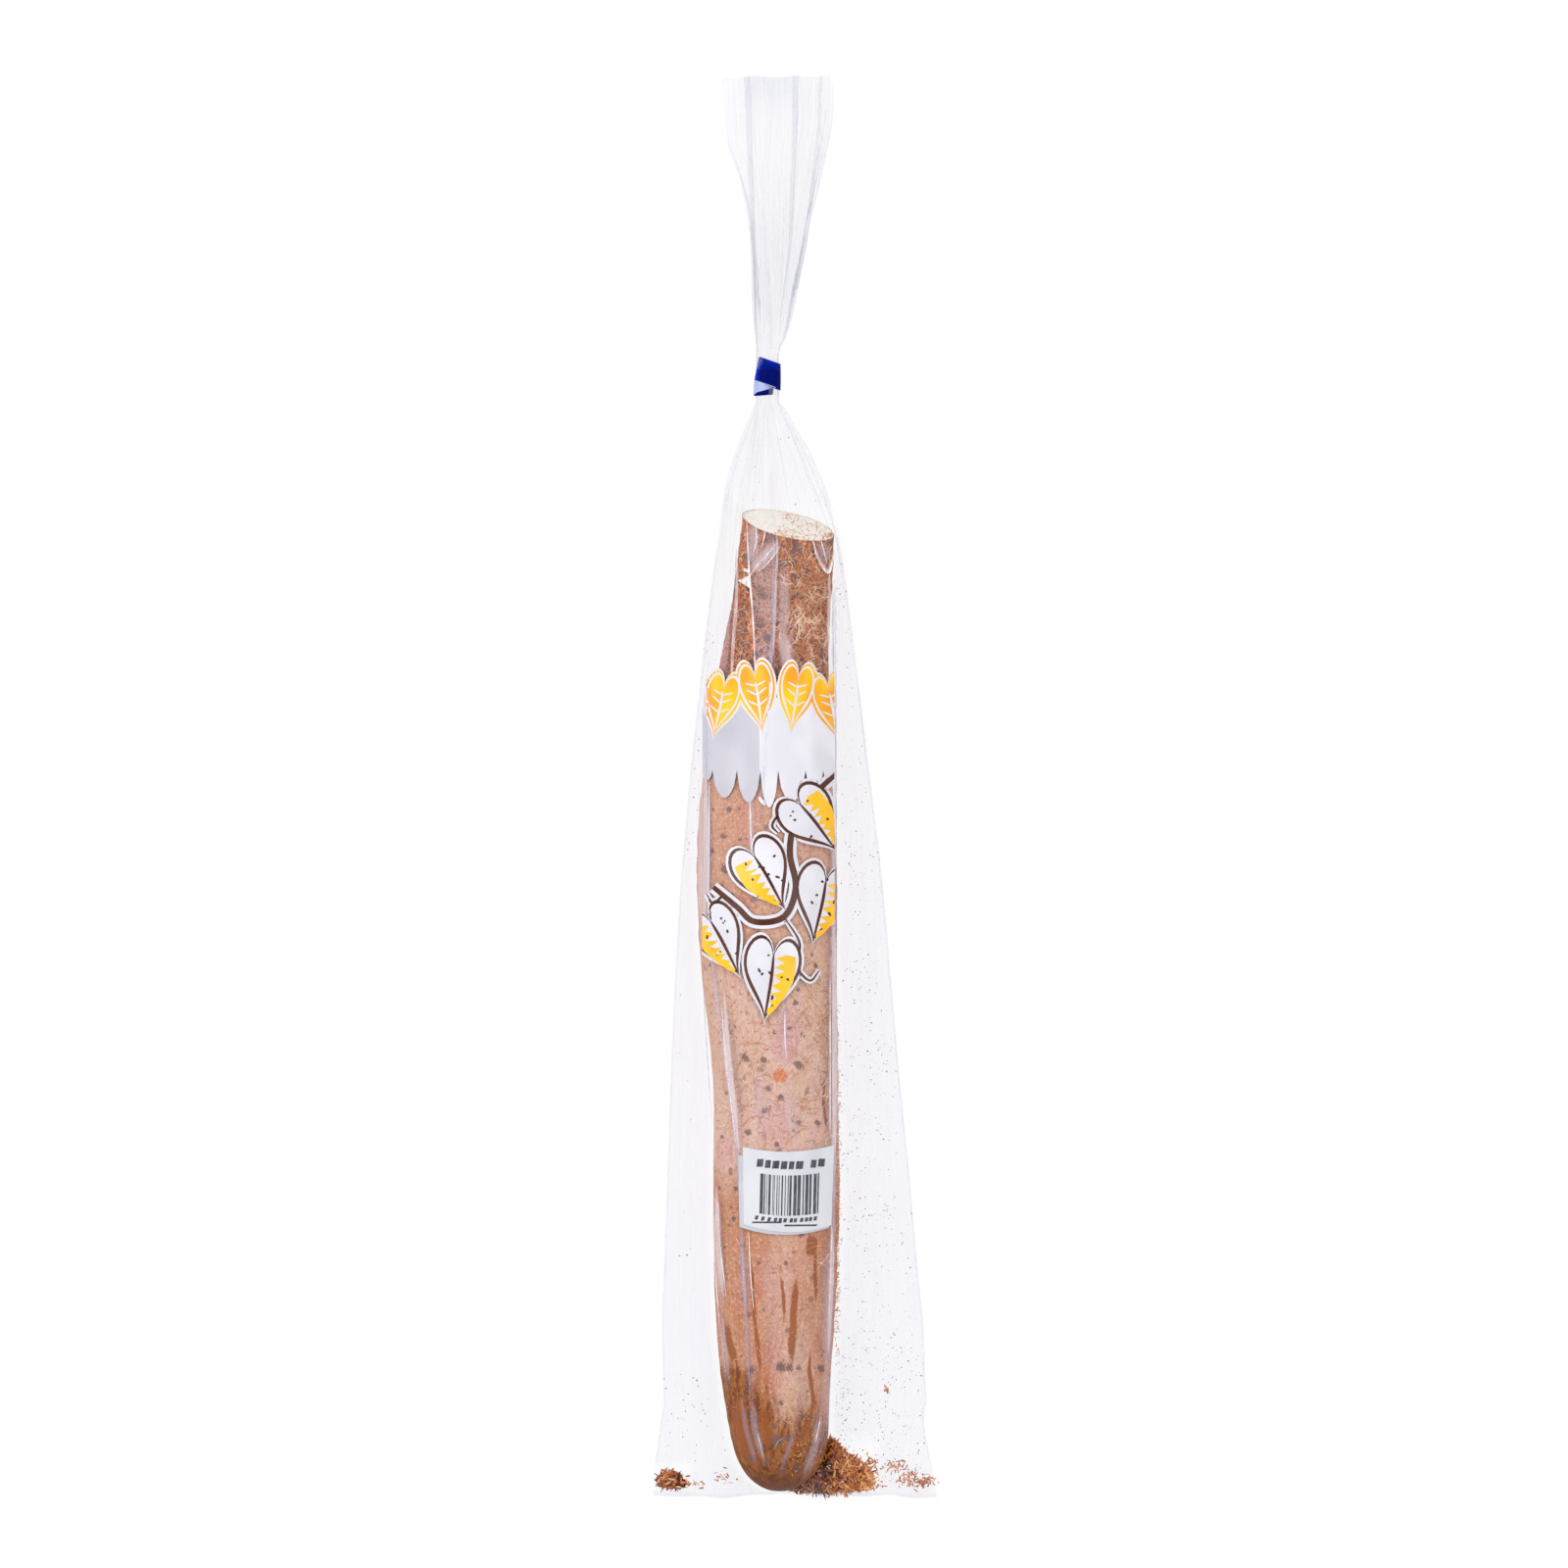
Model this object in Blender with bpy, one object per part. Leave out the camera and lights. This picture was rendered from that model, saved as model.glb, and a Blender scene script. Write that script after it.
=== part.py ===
"""A Japanese mountain yam lying in its tied bag of clear film.

The tuber lies along Y, with its rounded tip at -Y and its slanting cut end at +Y. The film bag is
sealed flat past the tip and drawn together past the cut end, where a strip of tape holds it. Past the
tape it opens in a pleated tail. Two stickers lie on the film, one partly over the other, and sawdust
has gathered in the sealed end. Metres, +Z up; the floor is Z = 0.
"""

import math
import random

import bmesh
import bpy
from mathutils import Vector, noise
from mathutils.bvhtree import BVHTree
from mathutils.geometry import convex_hull_2d

MM = 0.001

# The tuber
TIP_Y = -297.5 * MM
TIP_LENGTH = 26 * MM
DEPTH_SHARE = 0.94
UNDERSIDE_Z = 0.85 * MM
TIP_RISE = 0.55
CUT_END_LIFT = 5 * MM
LIFT_FROM = 300 * MM
CUT_Y = 111 * MM
CUT_SLOPE_X = -0.21
CUT_SLOPE_Z = -0.30
SKIN_RIM = 0.93
YAM_SIDES = 30
YAM_STEP = 9 * MM
# Millimetres: distance from the tip, full width, middle across the bag
YAM_STATIONS = (
    (0, 41.0, -6.6),
    (20, 41.0, -6.6),
    (51, 46.6, -8.4),
    (93, 51.9, -8.3),
    (134, 53.3, -8.1),
    (176, 52.9, -8.5),
    (217, 56.8, -10.8),
    (259, 58.9, -11.8),
    (300, 55.2, -11.8),
    (346, 46.5, -9.3),
    (383, 41.3, -5.4),
    (412, 39.0, -2.9),
)
SWELL_HEIGHT = 0.45 * MM
SWELL_LENGTH = 38 * MM
NUB_COUNT = 90
NUB_HEIGHT = 0.45 * MM
NUB_RADIUS = 2.6 * MM
NUB_SEED = 11

# The film bag
FILM = 0.5 * MM
ROOM = 1.3 * MM
TIP_EXTRA = 0.8
SEAL_END_Y = -303 * MM
SEAL_Y = -301 * MM
SEAL_SLIT = 0.3 * MM
FLOOR_SNAP = 0.06 * MM
BAG_SIDES = 36
PLEATS = 9
NECK_X = -11.8 * MM
NECK_Z = 10 * MM
NECK_RADIUS = 5.0 * MM
NECK_BORE = 1.8 * MM
NECK_START_Y = 163 * MM
TAIL_START_Y = 185 * MM
EDGE_INSET = 0.6 * MM
EDGE_MITRE = 2.0
# Millimetres: along the bag, left edge, right edge, height of both edges
BAG_EDGES = (
    (-301, -59.5, 59.5, 0.6),
    (-248, -57.4, 55.8, 2.0),
    (-206, -56.0, 52.5, 4.0),
    (-165, -54.6, 48.8, 7.0),
    (-123, -53.2, 44.7, 9.5),
    (-82, -51.4, 41.0, 12.0),
    (-40, -48.8, 37.1, 14.5),
    (1, -45.2, 32.4, 17.0),
    (43, -40.7, 27.2, 19.0),
    (84, -35.7, 21.6, 21.0),
    (109, -32.0, 17.6, 21.5),
    (126, -29.6, 12.2, 20.0),
    (134, -27.6, 8.9, 18.0),
    (142, -25.1, 5.4, 16.0),
    (151, -21.8, 0.6, 13.0),
)
# Millimetres: along the bag, wall of gathered film, height of the pleats
GATHER = (
    (-301, 0.5, 0.0),
    (60, 0.5, 0.0),
    (105, 0.5, 0.35),
    (126, 0.7, 0.8),
    (144, 1.5, 0.9),
    (163, 3.2, 0.2),
    (186, 3.2, 0.2),
    (215, 2.7, 0.8),
    (302, 2.7, 1.1),
)
# Millimetres: along the tail, left edge, right edge, half height, height of its middle
TAIL_STATIONS = (
    (185, -16.8, -6.8, 5.0, 10.0),
    (197, -17.9, -2.0, 4.9, 9.4),
    (209, -18.6, 0.6, 4.7, 8.6),
    (230, -19.4, 4.8, 4.6, 7.2),
    (250, -22.2, 9.1, 4.6, 6.3),
    (271, -27.8, 13.8, 4.7, 5.7),
    (285, -30.2, 16.2, 4.9, 5.6),
    (302, -31.7, 16.6, 5.1, 5.6),
)
BAG_STATIONS_BY_SEAL = (-299.9, -298.9, -298, -296.9, -295.3, -293.2, -290.6, -287.6, -284.2, -280.2)
BAG_STATIONS_NEAR_TIP = (-275, -267, -256, -242, -226, -208)
BAG_STATIONS_BODY = tuple(range(-190, 71, 20))
BAG_STATIONS_CONE = (84, 96, 106, 114, 122, 130, 138, 146, 154)
BAG_STATIONS_NECK = (163, 166)
BAG_STATIONS_TAIL = (185, 189, 197, 209, 221, 235, 250, 267, 284, 302)

# The tape round the neck
TAPE_Y = 175.7 * MM
TAPE_WIDTH = 10.5 * MM
TAPE_SLOPE = -0.29
TAPE_INNER = 5.45 * MM
TAPE_OUTER = 6.15 * MM
TAPE_END_Y = 169.6 * MM
TAPE_END_WIDTH = 6.6 * MM
TAPE_END_SLOPE = 0.05
TAPE_END_INNER = 5.6 * MM
TAPE_END_OUTER = 5.95 * MM
TAPE_SIDES = 32

# The stickers
STICKER_WIDTH = 39 * MM
STICKER_HEIGHT = 33 * MM
STICKER_FILM = 0.3 * MM
STICKER_CELLS = (16, 7)
UPPER_STICKER = {"middle": (-2.6, -168.4), "turn_deg": 2.0, "lift": 1.1 * MM}
LOWER_STICKER = {"middle": (-4.4, -171.2), "turn_deg": -1.0, "lift": 0.45 * MM}

# The sawdust: outline points and peak are millimetres
SAWDUST_BASE_Z = 0.8 * MM
HEAP_RINGS = ((1.0, 0.0), (0.9, 0.4), (0.68, 0.75), (0.38, 0.95))
HEAP_SIDES = 20
HEAP_ROUGHNESS = 0.22
CHIP_THICKNESS = 0.6 * MM
CHIP_CLEARANCE = 0.1 * MM
TIP_HEAP = {
    "outline": ((9, -283), (14, -280.5), (21, -284), (28, -287.5), (34, -291), (35, -296), (30, -298.4), (12, -298.6), (9.5, -296)),
    "middle": (21, -292),
    "height": 7.5 * MM,
    "chips": 34,
    "chip_length": 4.6 * MM,
    "seed": 3,
}
LEFT_HEAP = {
    "outline": ((-56.2, -294), (-55.4, -288), (-52, -286.5), (-47.5, -289), (-45, -293.5), (-48, -297), (-54, -297.4)),
    "middle": (-51.5, -292.5),
    "height": 3.6 * MM,
    "chips": 14,
    "chip_length": 3.0 * MM,
    "seed": 5,
}
CORNER_HEAP = {
    "outline": ((43, -294.5), (46, -291), (50, -292), (53, -289), (56, -292), (56.5, -296), (54, -297.4), (46, -297.2)),
    "middle": (50.5, -294.2),
    "height": 3.2 * MM,
    "chips": 14,
    "chip_length": 3.0 * MM,
    "seed": 8,
}
# Millimetres: places where the sawdust props the film up from inside
PROPPED_FILM = (
    (-57.5, -289.0, 5.6),
    (-52.0, -288.0, 8.0),
    (-56.5, -297.4, 4.6),
    (-47.0, -297.4, 5.8),
    (45.0, -297.4, 5.8),
    (46.0, -290.0, 8.0),
    (54.0, -288.5, 7.4),
    (57.0, -291.0, 5.6),
    (56.5, -297.4, 4.4),
    (14.0, -298.8, 6.4),
    (31.0, -298.8, 6.0),
    (-58.0, -298.0, 0.5),
    (-57.8, -286.0, 0.5),
    (58.0, -298.0, 0.5),
    (57.8, -288.0, 0.5),
)


def through(stations, at):
    """The values of a station table at a place between its rows, along a smooth curve through them."""
    rows = [tuple(value * MM for value in row) for row in stations]
    at = min(max(at, rows[0][0]), rows[-1][0])
    i = max(k for k in range(len(rows) - 1) if rows[k][0] <= at)
    low, high = rows[i], rows[i + 1]
    before, after = rows[max(i - 1, 0)], rows[min(i + 2, len(rows) - 1)]
    span = high[0] - low[0]
    t = (at - low[0]) / span
    values = []
    for a, p, q, b in zip(before[1:], low[1:], high[1:], after[1:]):
        start = (q - a) / (high[0] - before[0]) * span
        end = (b - p) / (after[0] - low[0]) * span
        values.append(
            p * (1 + 2 * t) * (1 - t) ** 2
            + start * t * (1 - t) ** 2
            + q * t * t * (3 - 2 * t)
            + end * t * t * (t - 1)
        )
    return values


def eased(t):
    """0 to 1 with no slope at either end."""
    t = min(max(t, 0.0), 1.0)
    return t * t * (3 - 2 * t)


def yam_section(from_tip):
    """Middle across, middle height, half width and half depth of the tuber at a distance from its tip."""
    width, middle = through(YAM_STATIONS, from_tip)
    rounding = 1.0
    if from_tip < TIP_LENGTH:
        rounding = math.sqrt(1 - (1 - from_tip / TIP_LENGTH) ** 2)
    half_depth = width / 2 * DEPTH_SHARE
    end = YAM_STATIONS[-1][0] * MM
    lift = CUT_END_LIFT * eased((from_tip - LIFT_FROM) / (end - LIFT_FROM))
    height = UNDERSIDE_Z + lift + half_depth * (rounding + (1 - rounding) * TIP_RISE)
    return middle, height, width / 2 * rounding, half_depth * rounding


def root_nubs():
    """Where the small root scars sit: angle round the tuber and distance from its tip."""
    draw = random.Random(NUB_SEED)
    length = YAM_STATIONS[-1][0] * MM
    return [(draw.uniform(0, math.tau), draw.uniform(0.02, 0.96) * length) for _ in range(NUB_COUNT)]


def relief(angle, from_tip, radius, nubs):
    """How far the skin stands out: slow swells and the nubs of the root scars."""
    spot = Vector((math.cos(angle) * radius, from_tip, math.sin(angle) * radius)) / SWELL_LENGTH
    out = SWELL_HEIGHT * noise.noise(spot)
    for nub_angle, nub_at in nubs:
        turn = (angle - nub_angle + math.pi) % math.tau - math.pi
        away = math.hypot(turn * radius, from_tip - nub_at)
        out += NUB_HEIGHT * math.exp(-((away / NUB_RADIUS) ** 2))
    return out


def yam_ring(from_tip, nubs):
    """The skin's points round the tuber at a distance from its tip."""
    middle, height, half_width, half_depth = yam_section(from_tip)
    ring = []
    for k in range(YAM_SIDES):
        angle = math.tau * k / YAM_SIDES
        out = relief(angle, from_tip, max(half_width, MM), nubs) * min(1, half_width / (6 * MM))
        x = middle + (half_width + out) * math.cos(angle)
        z = height + (half_depth + out) * math.sin(angle)
        ring.append(Vector((x, TIP_Y + from_tip, max(z, UNDERSIDE_Z))))
    return ring


def cut_plane_y(point):
    """Where the slanting cut meets a line along Y through this point."""
    middle, height, _, _ = yam_section(CUT_Y - TIP_Y)
    return CUT_Y + CUT_SLOPE_X * (point.x - middle) + CUT_SLOPE_Z * (point.z - height)


def add_object(name, bm, material, smooth_deg=40):
    """Makes an object of a bmesh, with its faces pointing out and its round sides shaded smooth."""
    bmesh.ops.recalc_face_normals(bm, faces=bm.faces)
    mesh = bpy.data.meshes.new(name)
    bm.to_mesh(mesh)
    bm.free()
    mesh.materials.append(material)
    mesh.shade_smooth()
    mesh.set_sharp_from_angle(angle=math.radians(smooth_deg))
    obj = bpy.data.objects.new(name, mesh)
    bpy.context.scene.collection.objects.link(obj)
    return obj


def finish(name, colour, roughness, alpha=1.0):
    """A plain material for one of the pieces."""
    material = bpy.data.materials.new(name)
    material.use_nodes = True
    shader = material.node_tree.nodes["Principled BSDF"]
    shader.inputs["Base Color"].default_value = (*colour, 1)
    shader.inputs["Roughness"].default_value = roughness
    shader.inputs["Metallic"].default_value = 0
    shader.inputs["Alpha"].default_value = alpha
    return material


def bridge(bm, first, second):
    """Joins two rings of the same number of vertices with faces."""
    count = len(first)
    for k in range(count):
        bm.faces.new((first[k], first[(k + 1) % count], second[(k + 1) % count], second[k]))


def fan(bm, ring, tip):
    """Closes a ring of vertices to one vertex."""
    for k, vertex in enumerate(ring):
        bm.faces.new((vertex, ring[(k + 1) % len(ring)], tip))


def build_yam():
    """The tuber: one solid, from its rounded tip to its slanting cut."""
    nubs = root_nubs()
    bm = bmesh.new()
    caps = [TIP_LENGTH * (1 - math.cos(math.radians(a))) for a in (18, 36, 52, 66, 79)]
    before_cut = min(cut_plane_y(p) for p in yam_ring(CUT_Y - TIP_Y, nubs)) - TIP_Y - YAM_STEP / 3
    steps = round((before_cut - TIP_LENGTH) / YAM_STEP)
    body = [TIP_LENGTH + (before_cut - TIP_LENGTH) * k / steps for k in range(steps + 1)]
    rings = [[bm.verts.new(p) for p in yam_ring(at, nubs)] for at in caps + body]
    cut_points = yam_ring(CUT_Y - TIP_Y, nubs)
    for point in cut_points:
        point.y = cut_plane_y(point)
    rings.append([bm.verts.new(p) for p in cut_points])
    for first, second in zip(rings, rings[1:]):
        bridge(bm, first, second)
    middle, height, _, _ = yam_section(0)
    fan(bm, rings[0], bm.verts.new((middle, TIP_Y, height)))
    centre = sum(cut_points, Vector()) / len(cut_points)
    rim = [bm.verts.new(centre.lerp(p, SKIN_RIM)) for p in cut_points]
    bridge(bm, rings[-1], rim)
    fan(bm, rim, bm.verts.new(centre))
    return add_object("yam", bm, finish("yam skin", (0.50, 0.29, 0.19), 0.75))


def gathered(at):
    """Wall thickness of the film, folded or not, and height of its pleats at a place along the bag."""
    return through(GATHER, at)


def film_hull():
    """The tight convex skin round everything that holds the film out, as pairs of points: its edges."""
    bm = bmesh.new()
    length = YAM_STATIONS[-1][0] * MM
    rows, sides = 60, 28
    for row in range(rows + 1):
        at = length * (row / rows) ** 1.8
        middle, height, half_width, half_depth = yam_section(at)
        before = max(1 - at / TIP_LENGTH, 0)
        y = TIP_Y + at - ROOM * before
        room = ROOM * math.sqrt(1 - before * before) * (1 + TIP_EXTRA * before)
        for k in range(sides):
            angle = math.tau * k / sides
            x = middle + (half_width + room) * math.cos(angle)
            z = height + (half_depth + room) * math.sin(angle)
            bm.verts.new((x, min(y, cut_plane_y(Vector((x, y, z))) + ROOM), max(z, FILM)))
    for y, left, right, z in BAG_EDGES:
        inset = gathered(y * MM)[0] + EDGE_INSET
        for x in (left * MM + inset, right * MM - inset):
            bm.verts.new((x, y * MM, max(z * MM, FILM)))
    for x, y, z in PROPPED_FILM:
        bm.verts.new((x * MM, y * MM, z * MM))
    for k in range(12):
        angle = math.tau * k / 12
        bm.verts.new((NECK_X + NECK_BORE * math.cos(angle), NECK_START_Y, NECK_Z + NECK_BORE * math.sin(angle)))
    hull = bmesh.ops.convex_hull(bm, input=bm.verts)["geom"]
    edges = [(e.verts[0].co.copy(), e.verts[1].co.copy()) for e in hull if isinstance(e, bmesh.types.BMEdge)]
    bm.free()
    return edges


def spaced(chain, count):
    """count + 1 points along a chain of points, closer together towards both ends."""
    lengths = [0.0]
    for a, b in zip(chain, chain[1:]):
        lengths.append(lengths[-1] + (b - a).length)
    points, k = [], 0
    for step in range(count + 1):
        even = step / count
        at = lengths[-1] * (even + (1 - math.cos(math.pi * even)) / 2) / 2
        while k < len(chain) - 2 and lengths[k + 1] < at:
            k += 1
        share = (at - lengths[k]) / max(lengths[k + 1] - lengths[k], 1e-12)
        points.append(chain[k].lerp(chain[k + 1], min(share, 1)))
    return points


def hull_ring(edges, y):
    """The hull's outline at y as BAG_SIDES points (x, z): from the left edge over the top and back below."""
    crossings = []
    for a, b in edges:
        if (a.y - y) * (b.y - y) < 0:
            point = a.lerp(b, (y - a.y) / (b.y - a.y))
            crossings.append(Vector((point.x, point.z)))
    outline = [crossings[i] for i in convex_hull_2d(crossings)]
    left = min(range(len(outline)), key=lambda i: outline[i].x)
    outline = outline[left:] + outline[:left]
    right = max(range(len(outline)), key=lambda i: outline[i].x)
    first, second = outline[: right + 1], outline[right:] + outline[:1]
    if sum(p.y for p in first) / len(first) < sum(p.y for p in second) / len(second):
        first, second = second[::-1], first[::-1]
    half = BAG_SIDES // 2
    return spaced(first, half) + spaced(second, half)[1:-1]


def tail_ring(y, inset_width, inset_height):
    """The tail's outline at y as points (x, z), in the order of hull_ring."""
    left, right, half_height, height = through(TAIL_STATIONS, y)
    half_width = (right - left) / 2 - inset_width
    ring = []
    for k in range(BAG_SIDES):
        angle = math.pi - math.tau * k / BAG_SIDES
        x = (left + right) / 2 + half_width * math.cos(angle)
        z = height + (half_height - inset_height) * math.sin(angle)
        ring.append(Vector((x, z)))
    return ring


def pushed_out(ring, distances):
    """The ring with each point moved outwards; the sharp left and right edges go further."""
    count = len(ring)
    moved = []
    for k, point in enumerate(ring):
        along = (ring[(k + 1) % count] - ring[k - 1]).normalized()
        outward = Vector((-along.y, along.x))
        mitre = EDGE_MITRE if k in (0, count // 2) and count > 0 else 1.0
        moved.append(point + outward * distances[k] * mitre)
    return moved


def flat_ring(half_width, low, high):
    """A thin flat outline, as at the sealed end, in the order of hull_ring."""
    half = BAG_SIDES // 2
    over = [Vector((half_width * (2 * k / half - 1), high)) for k in range(half + 1)]
    under = [Vector((half_width * (1 - 2 * k / half), low)) for k in range(1, half)]
    over[0].y = over[-1].y = (low + high) / 2
    return over + under


def on_floor(ring):
    """The ring with every point that is on the floor, or would be below it, exactly at zero height."""
    return [Vector((p.x, p.y if p.y > FLOOR_SNAP else 0.0)) for p in ring]


def film_rings():
    """Inner and outer outlines of the film, each as (y, points), from the sealed end to the tail's mouth."""
    edges = film_hull()
    seal_half = BAG_EDGES[0][2] * MM
    slit = flat_ring(seal_half - EDGE_INSET, FILM, FILM + SEAL_SLIT)
    inner = [(SEAL_Y, slit)]
    outer = [(SEAL_END_Y, flat_ring(seal_half + FILM, 0, 2 * FILM)), (SEAL_Y, flat_ring(seal_half + FILM, 0, 3 * FILM))]
    for station in BAG_STATIONS_BY_SEAL + BAG_STATIONS_NEAR_TIP + BAG_STATIONS_BODY + BAG_STATIONS_CONE:
        y = station * MM
        wall, pleat = gathered(y)
        waves = [pleat * (1 + math.cos(math.tau * PLEATS * k / BAG_SIDES)) / 2 for k in range(BAG_SIDES)]
        inside = pushed_out(hull_ring(edges, y), waves)
        outside = pushed_out(inside, [wall] * BAG_SIDES)
        inner.append((y, [Vector((p.x, max(p.y, FILM))) for p in inside]))
        outer.append((y, on_floor(outside)))
    for station in BAG_STATIONS_NECK + BAG_STATIONS_TAIL:
        y = station * MM
        wall, pleat = gathered(y)
        waves = [pleat * math.cos(math.tau * PLEATS * k / BAG_SIDES) for k in range(BAG_SIDES)]
        inside = tail_ring(y, wall, wall)
        outside = pushed_out(tail_ring(y, pleat, pleat), waves)
        inner.append((y, inside))
        outer.append((y, on_floor(outside)))
    return inner, outer


def closing_strip(bm, ring):
    """Closes a flat ring across its thickness."""
    half = len(ring) // 2
    bm.faces.new((ring[0], ring[1], ring[-1]))
    for k in range(1, half - 1):
        bm.faces.new((ring[k], ring[k + 1], ring[-k - 1], ring[-k]))
    bm.faces.new((ring[half - 1], ring[half], ring[half + 1]))


def build_bag():
    """The film bag: one thin wall with its inside open to the mouth of the tail."""
    bm = bmesh.new()
    sides = []
    for rings in film_rings():
        sides.append([[bm.verts.new((p.x, y, p.y)) for p in ring] for y, ring in rings])
    for surface in sides:
        for first, second in zip(surface, surface[1:]):
            bridge(bm, first, second)
        closing_strip(bm, surface[0])
    bridge(bm, sides[0][-1], sides[1][-1])
    bmesh.ops.triangulate(bm, faces=bm.faces)
    return add_object("bag", bm, finish("clear film", (0.93, 0.93, 0.97), 0.12, 0.25))


def band(name, y, width, slope, inner, outer, material):
    """A short tube round the neck whose two ends slant alike."""
    bm = bmesh.new()
    loops = []
    for radius, side in ((inner, -0.5), (inner, 0.5), (outer, 0.5), (outer, -0.5)):
        loop = []
        for k in range(TAPE_SIDES):
            angle = math.tau * k / TAPE_SIDES
            across = radius * math.cos(angle)
            loop.append(bm.verts.new((NECK_X + across, y + side * width + slope * across, NECK_Z + radius * math.sin(angle))))
        loops.append(loop)
    for k, loop in enumerate(loops):
        bridge(bm, loop, loops[(k + 1) % len(loops)])
    return add_object(name, bm, material)


def build_tape():
    """The tape: one slanting turn with its end tucked out below it."""
    material = finish("blue tape", (0.01, 0.03, 0.42), 0.3)
    turn = band("neck_tape", TAPE_Y, TAPE_WIDTH, TAPE_SLOPE, TAPE_INNER, TAPE_OUTER, material)
    end = band("tape end", TAPE_END_Y, TAPE_END_WIDTH, TAPE_END_SLOPE, TAPE_END_INNER, TAPE_END_OUTER, material)
    union = turn.modifiers.new("tucked end", "BOOLEAN")
    union.operation = "UNION"
    union.object = end
    bpy.context.view_layer.objects.active = turn
    bpy.ops.object.modifier_apply(modifier=union.name)
    bpy.data.objects.remove(end)
    return turn


def build_sticker(name, sticker, film, material):
    """A thin label that follows the film below it."""
    columns, rows = STICKER_CELLS
    turn = math.radians(sticker["turn_deg"])
    middle = Vector(sticker["middle"]) * MM
    bm = bmesh.new()
    layers = []
    for rise in (sticker["lift"], sticker["lift"] + STICKER_FILM):
        grid = []
        for row in range(rows + 1):
            for column in range(columns + 1):
                u = (column / columns - 0.5) * STICKER_WIDTH
                v = (row / rows - 0.5) * STICKER_HEIGHT
                x = middle.x + u * math.cos(turn) - v * math.sin(turn)
                y = middle.y + u * math.sin(turn) + v * math.cos(turn)
                top = film.ray_cast(Vector((x, y, 1)), Vector((0, 0, -1)))[0]
                grid.append(bm.verts.new((x, y, top.z + rise)))
        layers.append(grid)
    for grid in layers:
        for row in range(rows):
            for column in range(columns):
                k = row * (columns + 1) + column
                bm.faces.new((grid[k], grid[k + 1], grid[k + columns + 2], grid[k + columns + 1]))
    last = rows * (columns + 1)
    rim = list(range(columns)) + [columns + row * (columns + 1) for row in range(rows)]
    rim += [last + columns - column for column in range(columns)] + [last - row * (columns + 1) for row in range(rows)]
    bridge(bm, [layers[0][k] for k in rim], [layers[1][k] for k in rim])
    bmesh.ops.triangulate(bm, faces=bm.faces)
    return add_object(name, bm, material)


def reach(outline, middle, angle):
    """How far an outline lies from its middle in one direction."""
    direction = Vector((math.cos(angle), math.sin(angle)))
    found = []
    for a, b in zip(outline, outline[1:] + outline[:1]):
        side = b - a
        turned = direction.x * side.y - direction.y * side.x
        if abs(turned) > 1e-15:
            offset = a - middle
            along = (offset.x * side.y - offset.y * side.x) / turned
            share = (offset.x * direction.y - offset.y * direction.x) / turned
            if along > 0 and -1e-9 <= share <= 1 + 1e-9:
                found.append(along)
    return min(found)


def build_chip(bm, place, length, draw):
    """One flat curl of wood with a blunt wedge shape, tilted out of the heap."""
    made = bmesh.ops.create_cube(bm, size=1)["verts"]
    width = length * draw.uniform(0.28, 0.45)
    tilt = draw.uniform(0.15, 0.75)
    heading = draw.uniform(0, math.tau)
    forward = Vector((math.cos(heading) * math.cos(tilt), math.sin(heading) * math.cos(tilt), math.sin(tilt)))
    across = Vector((-math.sin(heading), math.cos(heading), 0))
    up = forward.cross(across)
    for vertex in made:
        narrow = 0.55 if vertex.co.x > 0 else 1.0
        x, y, z = vertex.co.x * length, vertex.co.y * width * narrow, vertex.co.z * CHIP_THICKNESS
        vertex.co = place + forward * x + across * y + up * z


def keep_largest_shell(mesh):
    """Removes the small voids that stay enclosed where chips cross inside a heap."""
    bm = bmesh.new()
    bm.from_mesh(mesh)
    shells, seen = [], set()
    for start in bm.verts:
        if start in seen:
            continue
        shell, waiting = [], [start]
        seen.add(start)
        while waiting:
            vertex = waiting.pop()
            shell.append(vertex)
            for edge in vertex.link_edges:
                other = edge.other_vert(vertex)
                if other not in seen:
                    seen.add(other)
                    waiting.append(other)
        shells.append(shell)
    shells.sort(key=len)
    bmesh.ops.delete(bm, geom=[vertex for shell in shells[:-1] for vertex in shell], context="VERTS")
    bm.to_mesh(mesh)
    bm.free()


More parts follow.
